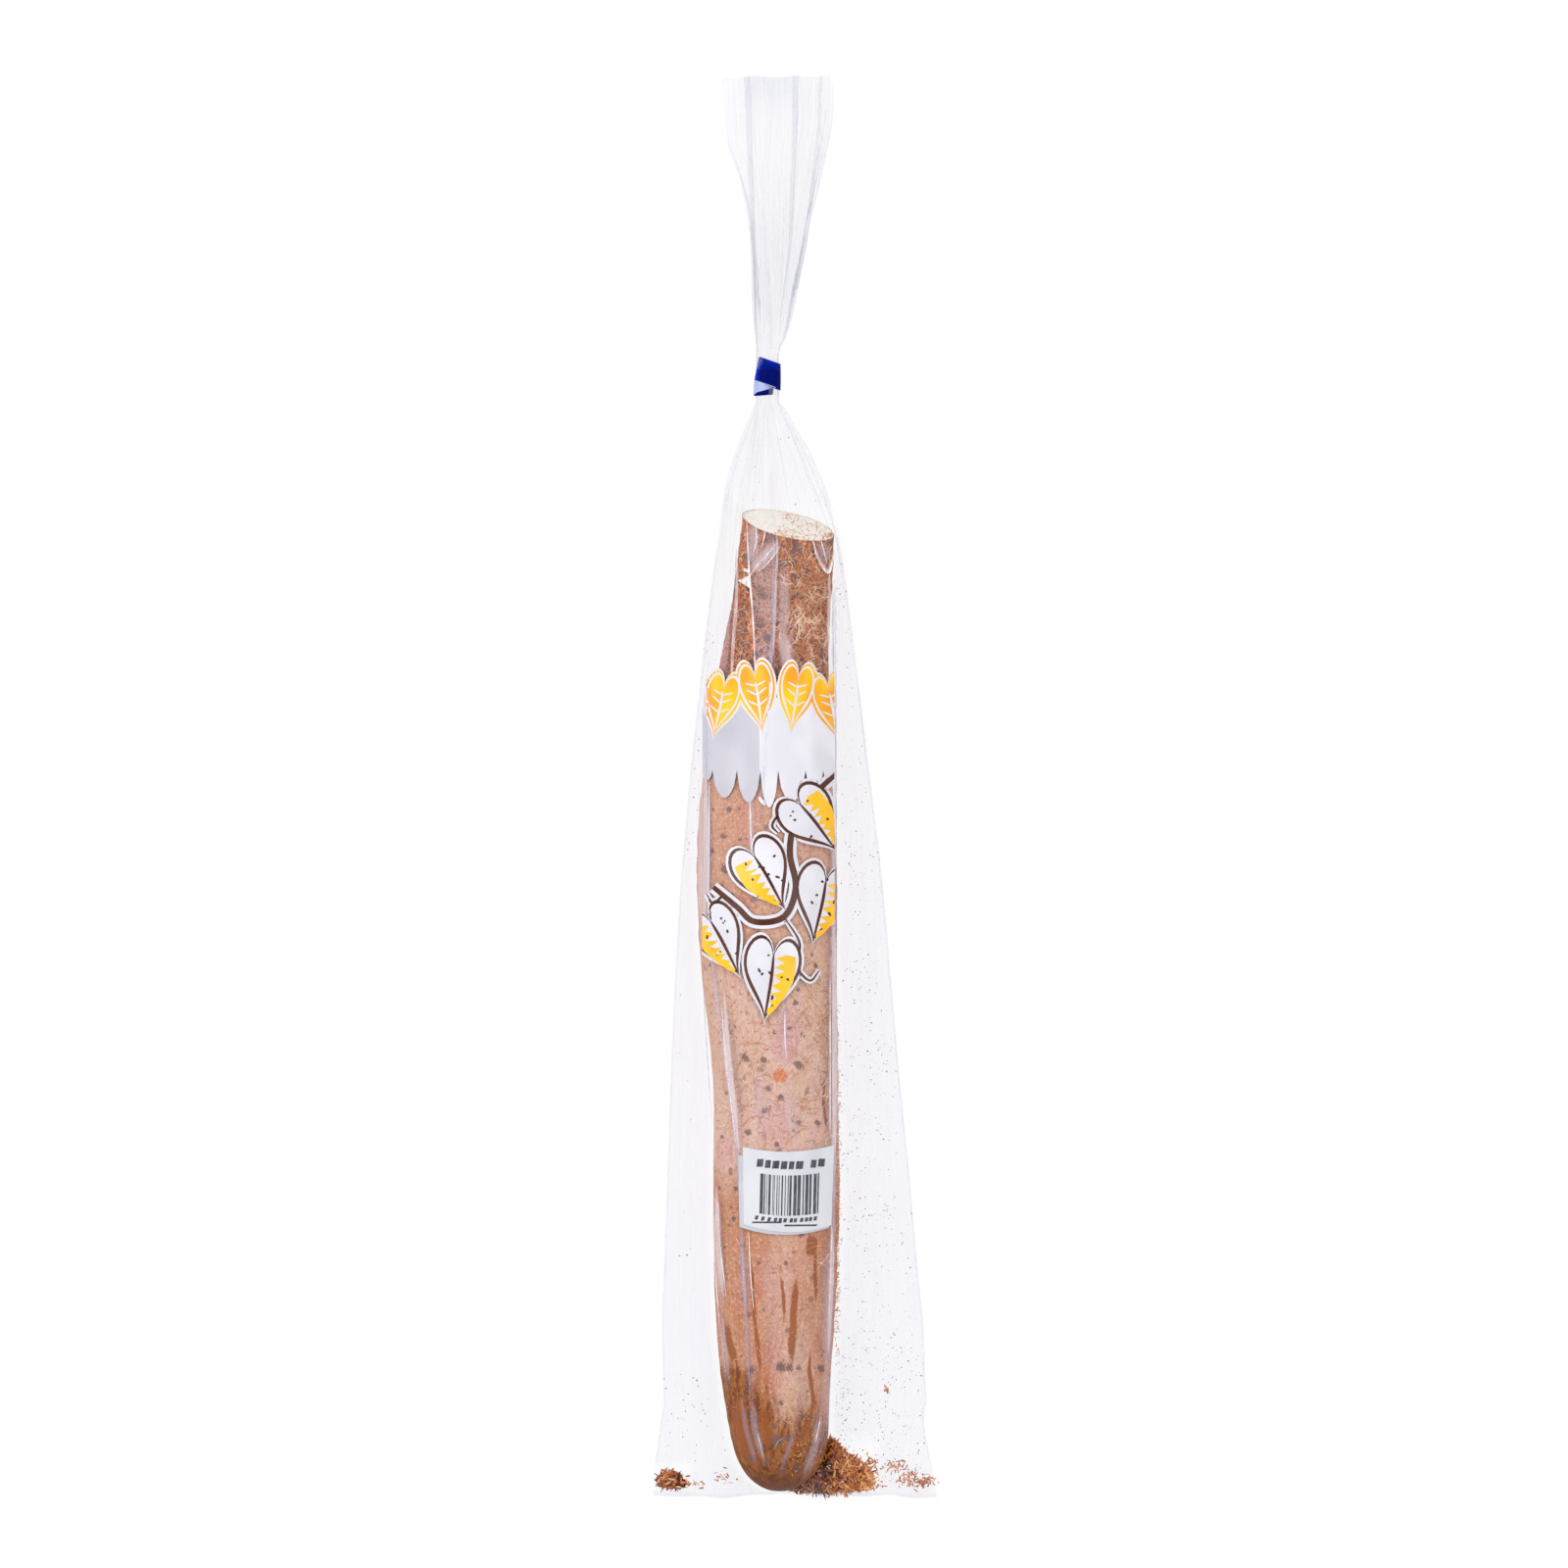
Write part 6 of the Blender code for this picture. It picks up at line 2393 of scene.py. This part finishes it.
@dataclass
class Rootlets:
    """The fine curling rootlets and short hairs that lie on the tuber's skin."""

    sides: int = 3
    # Photo pixels and count: left, right, top, bottom, how many, shortest and longest in millimetres, radius
    curls: Rows = (
        (806, 850, 595, 690, 80, 4, 14, 0.26), (800, 850, 560, 640, 36, 3, 10, 0.24),
        (740, 800, 560, 690, 40, 3, 10, 0.22), (735, 760, 600, 700, 20, 4, 10, 0.22),
        (755, 780, 540, 600, 16, 4, 10, 0.22), (818, 850, 1000, 1170, 44, 6, 22, 0.24),
        (722, 790, 1040, 1170, 26, 8, 28, 0.2), (730, 850, 780, 1050, 30, 5, 14, 0.17),
        (730, 850, 1250, 1340, 16, 5, 14, 0.17), (740, 845, 1380, 1510, 8, 4, 9, 0.15),
        (836, 850, 1270, 1330, 12, 4, 14, 0.22), (800, 846, 521, 548, 14, 2, 7, 0.18),
    )
    hairs: Rows = (
        (722, 852, 545, 700, 1300, 0.8, 2.6, 0.22), (716, 855, 690, 1150, 900, 0.5, 1.8, 0.2),
        (735, 850, 1150, 1440, 420, 0.5, 1.6, 0.18), (806, 846, 1430, 1505, 160, 0.5, 1.8, 0.2),
        (800, 852, 560, 690, 450, 0.9, 3.0, 0.24), (795, 850, 521, 550, 110, 0.6, 2.4, 0.17),
    )

    # Photo pixels: the longest rootlets, one by one
    long_ones: tuple[Path, ...] = (
        ((769, 1048), (766, 1060), (758, 1075), (752, 1090), (749, 1105), (751, 1118)),
        ((729, 1151), (738, 1149), (747, 1140), (758, 1130), (766, 1121), (770, 1108), (768, 1098)),
        ((798, 1171), (806, 1161), (818, 1152), (830, 1149), (841, 1147)),
        ((816, 1153), (822, 1163), (835, 1160), (848, 1148)), ((797, 1053), (801, 1053), (804, 1060)),
        ((834, 1073), (834, 1082), (833, 1091)), ((822, 613), (827, 610), (831, 609), (834, 611)),
        ((804, 641), (812, 637), (820, 630), (829, 634), (838, 627)),
        ((812, 618), (817, 622), (816, 627), (812, 632), (820, 637)),
        ((806, 660), (812, 668), (818, 680), (828, 692)),
        ((838, 640), (843, 652), (840, 668), (845, 684)),
        ((826, 1015), (838, 1030), (842, 1048), (836, 1060)),
        ((842, 1030), (837, 1044), (841, 1060), (838, 1072)), ((757, 1100), (764, 1112), (760, 1124)),
    )

    def build(self, tuber: Ground) -> list[Piece]:
        """Makes the curls and the hairs as two pieces.

        Args:
            tuber: The tuber's heights.

        Returns:
            The pieces.
        """
        draw = random.Random(23)
        short_finish = RootletFinish((0.88, 0.50, 0.28), (0.60, 0.25, 0.10))
        pieces = []
        for name, fields, steps, look in (
            ("rootlet_curls", self.curls, 22, RootletFinish()),
            ("skin_hairs", self.hairs, 3, short_finish),
        ):
            mesh = Growing()
            for left, right, top, bottom, count, short, long, radius in fields:
                for _ in range(count):
                    start = seen(draw.uniform(left, right), draw.uniform(top, bottom))
                    length = draw.uniform(short, long) * MM
                    line = self.wandering(start, length, radius * MM, steps, tuber, draw)
                    self.strand(mesh, line, radius * MM)
            if name == "rootlet_curls":
                for path in self.long_ones:
                    self.strand(mesh, self.drawn(path, tuber), 0.27 * MM)
            piece = make_piece(name, mesh.points, mesh.faces, look.material(name), 180)
            pieces.append(piece)
        return pieces

    @staticmethod
    def drawn(path: Path, tuber: Ground) -> list[Vector]:
        """The middle line of a strand that follows a path over the skin.

        Args:
            path: The path's corners, as photo pixels.
            tuber: The tuber's heights.

        Returns:
            Its points.
        """
        knots = [Vector(seen(*p)) for p in path]
        knots = [knots[0] * 2 - knots[1], *knots, knots[-1] * 2 - knots[-2]]
        flat = [spline_point(knots[i - 1 : i + 3], k / 6) for i in range(1, len(knots) - 2) for k in range(6)]
        return [Vector((p.x, p.y, tuber.height(p.x, p.y) + 0.35 * MM)) for p in flat]

    @staticmethod
    def wandering(
        start: tuple[float, float],
        length: float,
        radius: float,
        steps: int,
        tuber: Ground,
        draw: Draw,
    ) -> list[Vector]:
        """The middle line of a strand that wanders over the skin.

        Args:
            start: Where the strand begins in plan.
            length: Its length, in metres.
            radius: Its radius at the root.
            steps: How many stretches it has.
            tuber: The skin it lies on.
            draw: The source of chance.

        Returns:
            Its points.
        """
        x, y = start
        heading = draw.uniform(0, math.tau)
        bend = draw.uniform(-1, 1) * 2.2 / steps
        line: list[Vector] = []
        for _ in range(steps + 1):
            up = tuber.height(x, y)
            if up <= 1 * MM:
                break
            line.append(Vector((x, y, up + radius * (0.6 + 2.2 * draw.random()))))
            heading += bend + draw.uniform(-0.3, 0.3)
            x += math.cos(heading) * length / steps
            y += math.sin(heading) * length / steps
        return line

    def strand(self, mesh: Growing, line: list[Vector], radius: float) -> None:
        """Adds one thin tapering strand along a line to a mesh.

        Args:
            mesh: The mesh, added to.
            line: The strand's middle line.
            radius: Its radius at the root.
        """
        if len(line) < 3:
            return
        points = []
        for k, point in enumerate(line):
            ahead = (line[min(k + 1, len(line) - 1)] - line[max(k - 1, 0)]).normalized()
            across = ahead.cross(Vector((0, 0, 1))).normalized()
            above = across.cross(ahead)
            thin = radius * (1 - 0.6 * k / (len(line) - 1))
            for i in range(self.sides):
                turn = math.tau * i / self.sides + math.pi / 2
                outward = point + across * (thin * math.cos(turn))
                points.append(tuple(outward + above * (thin * math.sin(turn))))
        last = (len(line) - 1) * self.sides
        ends = [tuple(range(self.sides))[::-1], tuple(range(last, last + self.sides))]
        mesh.add(points, tube_faces(len(line), self.sides) + ends)


@dataclass
class Studio:
    """The plain pale floor, the soft light and the camera that looks straight down."""

    distance: float = 9.0
    focus_height: float = 0.03
    floor_half: float = 2.5
    floor_colour: Colour = (0.12, 0.12, 0.12)
    floor_glow: float = 0.885
    sensor: float = 36
    sky: float = 0.62
    # Name, place, size and power
    lamps: Sequence[tuple[str, Sequence[float], tuple[float, float], float]] = (
        ("left_lamp", (-1.1, 0.1, 1.1), (0.4, 1.4), 13.5),
        ("right_lamp", (1.2, -0.1, 1.2), (0.4, 1.4), 9.5),
        ("head_lamp", (0.0, 1.3, 1.5), (1.2, 0.4), 11.0),
    )

    def build(self) -> None:
        """Sets up everything round the object."""
        self.floor()
        self.camera()
        self.light()
        self.world()

    def floor(self) -> None:
        """Lays the surface that the bag lies on."""
        bench = Bench("pale_floor")
        bench.dress(Base_Color=self.floor_colour, Roughness=0.8, Specular_IOR_Level=0.1)
        bench.dress(Emission_Color=(1, 1, 1), Emission_Strength=self.floor_glow)
        half = self.floor_half
        mesh = bpy.data.meshes.new("floor")
        corners = [(-half, -half, 0), (half, -half, 0), (half, half, 0), (-half, half, 0)]
        mesh.from_pydata(corners, [], [(0, 1, 2, 3)])
        mesh.materials.append(bench.material)
        floor = bpy.data.objects.new("floor", mesh)
        bpy.context.scene.collection.objects.link(floor)

    def camera(self) -> None:
        """Points the camera straight down at the middle of the photograph's frame."""
        lens = bpy.data.cameras.new("camera")
        lens.sensor_width = self.sensor
        lens.sensor_fit = "HORIZONTAL"
        lens.lens = self.sensor * (self.distance - self.focus_height) / (IMAGE_PIXELS * PIXEL)
        lens.clip_end = 30
        camera = bpy.data.objects.new("camera", lens)
        x, y = seen(IMAGE_PIXELS / 2, IMAGE_PIXELS / 2)
        camera.location = (x, y, self.distance)
        bpy.context.scene.collection.objects.link(camera)
        bpy.context.scene.camera = camera

    def light(self) -> None:
        """Hangs two long soft lamps at the sides and a broad one overhead."""
        for name, place, size, power in self.lamps:
            lamp = bpy.data.lights.new(name, "AREA")
            lamp.shape = "RECTANGLE"
            lamp.size, lamp.size_y = size
            lamp.energy = power
            holder = bpy.data.objects.new(name, lamp)
            holder.location = place
            holder.rotation_euler = Vector(place).to_track_quat("Z", "Y").to_euler()
            bpy.context.scene.collection.objects.link(holder)

    def world(self) -> None:
        """Fills the shadows with even white light."""
        world = bpy.data.worlds.new("studio")
        world.use_nodes = True
        sky = world.node_tree.nodes["Background"]
        sky.inputs["Color"].default_value = (1, 1, 1, 1)
        sky.inputs["Strength"].default_value = self.sky
        bpy.context.scene.world = world
        bpy.context.scene.view_settings.view_transform = "Standard"


def main() -> None:
    """Builds every sub-assembly in order."""
    logging.basicConfig(level=logging.INFO, format="%(message)s")
    Studio().build()
    form = TuberForm()
    tuber = Tuber(form).build(SkinFinish())
    bag = FilmBag(form)
    film = bag.build(FilmFinish())
    skin, top = Ground(tuber), Ground(film)
    tucks = FilmTucks().build(top.height, bag.edges)
    Print().build(top.height)
    Stickers().build(top.height)
    NeckTape().build()
    Sawdust().build(skin, top)
    Specks().build(top, skin)
    Rootlets().build(skin)


if __name__ == "__main__":
    main()
